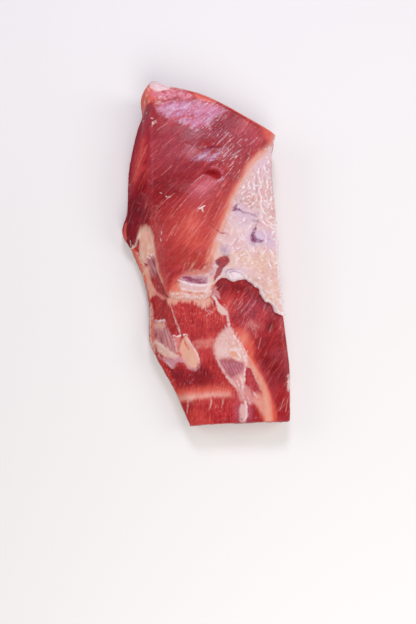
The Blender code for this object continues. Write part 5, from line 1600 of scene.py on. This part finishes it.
def makeRib(number, place, width, bone):
    left = np.interp(place, side["left"][:, 1], side["left"][:, 0]) + ribs["start"]
    right = float(outlineX(place))
    length = right - left
    turns = np.linspace(0, 2 * math.pi, ribs["round"], endpoint=False)
    power = 2 / ribs["squareness"]
    ovalY = np.sign(np.cos(turns)) * np.abs(np.cos(turns)) ** power
    ovalZ = np.sign(np.sin(turns)) * np.abs(np.sin(turns)) ** power
    tipShares = (1 - np.cos(np.linspace(0.02, math.pi / 2, ribs["tipSteps"]))) * ribs["tip"] / length
    rest = np.linspace(tipShares[-1], 1, ribs["steps"] - ribs["tipSteps"] + 1)[1:]
    shares = np.concatenate([tipShares, rest])
    rings, marrowRings = [], []
    for share in shares:
        x = left + share * length
        size = math.sqrt(max(1 - (1 - min(share * length / ribs["tip"], 1)) ** 2, 0.02))
        centre = place + ribs["slant"] * (x - left) - ribs["bow"] * math.sin(math.pi * share)
        wobble = 1 + ribs["wobble"] * softNoise(np.full(len(turns), x / 9), turns * 1.6, 130 + number)
        y = centre + ovalY * width / 2 * size * wobble
        z = ribs["height"] / 2 + ovalZ * ribs["height"] / 2 * (0.55 + 0.45 * size) * np.minimum(wobble, 1)
        atX = np.full(len(turns), x)
        if share == shares[-1]:
            atX = outlineX(y) + ribs["sawnOut"]
        rings.append(np.column_stack([atX, y, z]))
        marrowRings.append(np.zeros(len(turns)))
    end = rings[-1]
    middle = end.mean(axis=0)
    for inset, dip, red in ribs["sawnRings"]:
        ring = middle + (end - middle) * inset
        ring[:, 0] = outlineX(ring[:, 1]) + ribs["sawnOut"] + dip
        rings.append(ring)
        marrowRings.append(np.full(len(turns), red))
    count = ribs["round"]
    faces = []
    for step in range(len(rings) - 1):
        a = np.arange(count) + step * count
        faces += np.column_stack([a, np.roll(a, -1), np.roll(a, -1) + count, a + count])[:, ::-1].tolist()
    faces.append(list(range(count)))
    lastRing = (len(rings) - 1) * count
    faces.append([lastRing + k for k in range(count)][::-1])
    mesh = bpy.data.meshes.new("rib_%d_bone" % number)
    mesh.from_pydata((np.vstack(rings) * mm).tolist(), [], faces)
    red = mesh.attributes.new("marrow", "FLOAT", "POINT")
    red.data.foreach_set("value", np.concatenate(marrowRings).astype(np.float32))
    mesh.shade_smooth()
    mesh.set_sharp_from_angle(angle=math.radians(sharpAngle["bone"]))
    mesh.materials.append(bone)
    piece = bpy.data.objects.new("rib_%d_bone" % number, mesh)
    bpy.context.scene.collection.objects.link(piece)
    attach(piece, "root")
    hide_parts("rib_%d" % number)


bone = boneMaterial()
for number, (place, width) in enumerate(ribs["places"], 1):
    makeRib(number, place, width, bone)
print("ribs made")

studio = {"floor": 1.6, "floorColour": (0.87, 0.87, 0.865), "floorRoughness": 0.9, "floorGloss": 0.1,
          "world": 0.17, "lens": 30, "sensor": 36, "nearest": 0.02, "tilt": 12.5,
          "cameraPlace": (0.004, -0.13128, 0.38037),
          "lamps": [("window", (0.02, 0.54, 0.62), 0.26, 2.6, (0.93, 0.86, 1.0)),
                    ("front", (0.12, -0.66, 0.60), 0.55, 4.6, (1.0, 0.97, 0.93)),
                    ("right", (0.62, 0.05, 0.50), 0.45, 1.8, (1.0, 0.97, 0.95)),
                    ("left", (-0.60, 0.16, 0.42), 0.45, 1.1, (1.0, 0.96, 0.97))]}


def makeFloor():
    half = studio["floor"]
    mesh = bpy.data.meshes.new("floor")
    mesh.from_pydata([(-half, -half, 0), (half, -half, 0), (half, half, 0), (-half, half, 0)], [],
                     [(0, 1, 2, 3)])
    made = bpy.data.materials.new("floor_paint")
    made.use_nodes = True
    shader = made.node_tree.nodes["Principled BSDF"]
    shader.inputs["Base Color"].default_value = studio["floorColour"] + (1,)
    shader.inputs["Roughness"].default_value = studio["floorRoughness"]
    shader.inputs["Specular IOR Level"].default_value = studio["floorGloss"]
    mesh.materials.append(made)
    floor = bpy.data.objects.new("floor", mesh)
    bpy.context.scene.collection.objects.link(floor)


def makeLights():
    world = bpy.data.worlds.new("studio")
    bpy.context.scene.world = world
    world.use_nodes = True
    world.node_tree.nodes["Background"].inputs["Color"].default_value = (1, 1, 1, 1)
    world.node_tree.nodes["Background"].inputs["Strength"].default_value = studio["world"]
    for name, place, size, power, colour in studio["lamps"]:
        data = bpy.data.lights.new(name, "AREA")
        data.shape = "DISK"
        data.size = size
        data.energy = power
        data.color = colour
        lamp = bpy.data.objects.new(name, data)
        lamp.location = place
        direction = -np.array(place)
        lamp.rotation_euler = (math.atan2(math.hypot(direction[0], direction[1]), -direction[2]), 0,
                               math.atan2(direction[1], direction[0]) - math.pi / 2)
        bpy.context.scene.collection.objects.link(lamp)


def makeCamera():
    data = bpy.data.cameras.new("view")
    data.lens = studio["lens"]
    data.sensor_width = studio["sensor"]
    data.clip_start = studio["nearest"]
    camera = bpy.data.objects.new("view", data)
    camera.location = studio["cameraPlace"]
    camera.rotation_euler = (math.radians(studio["tilt"]), 0, 0)
    bpy.context.scene.collection.objects.link(camera)
    bpy.context.scene.camera = camera


makeFloor()
makeLights()
makeCamera()
bpy.context.scene.view_settings.view_transform = "Standard"
print("floor, lights and camera ready")
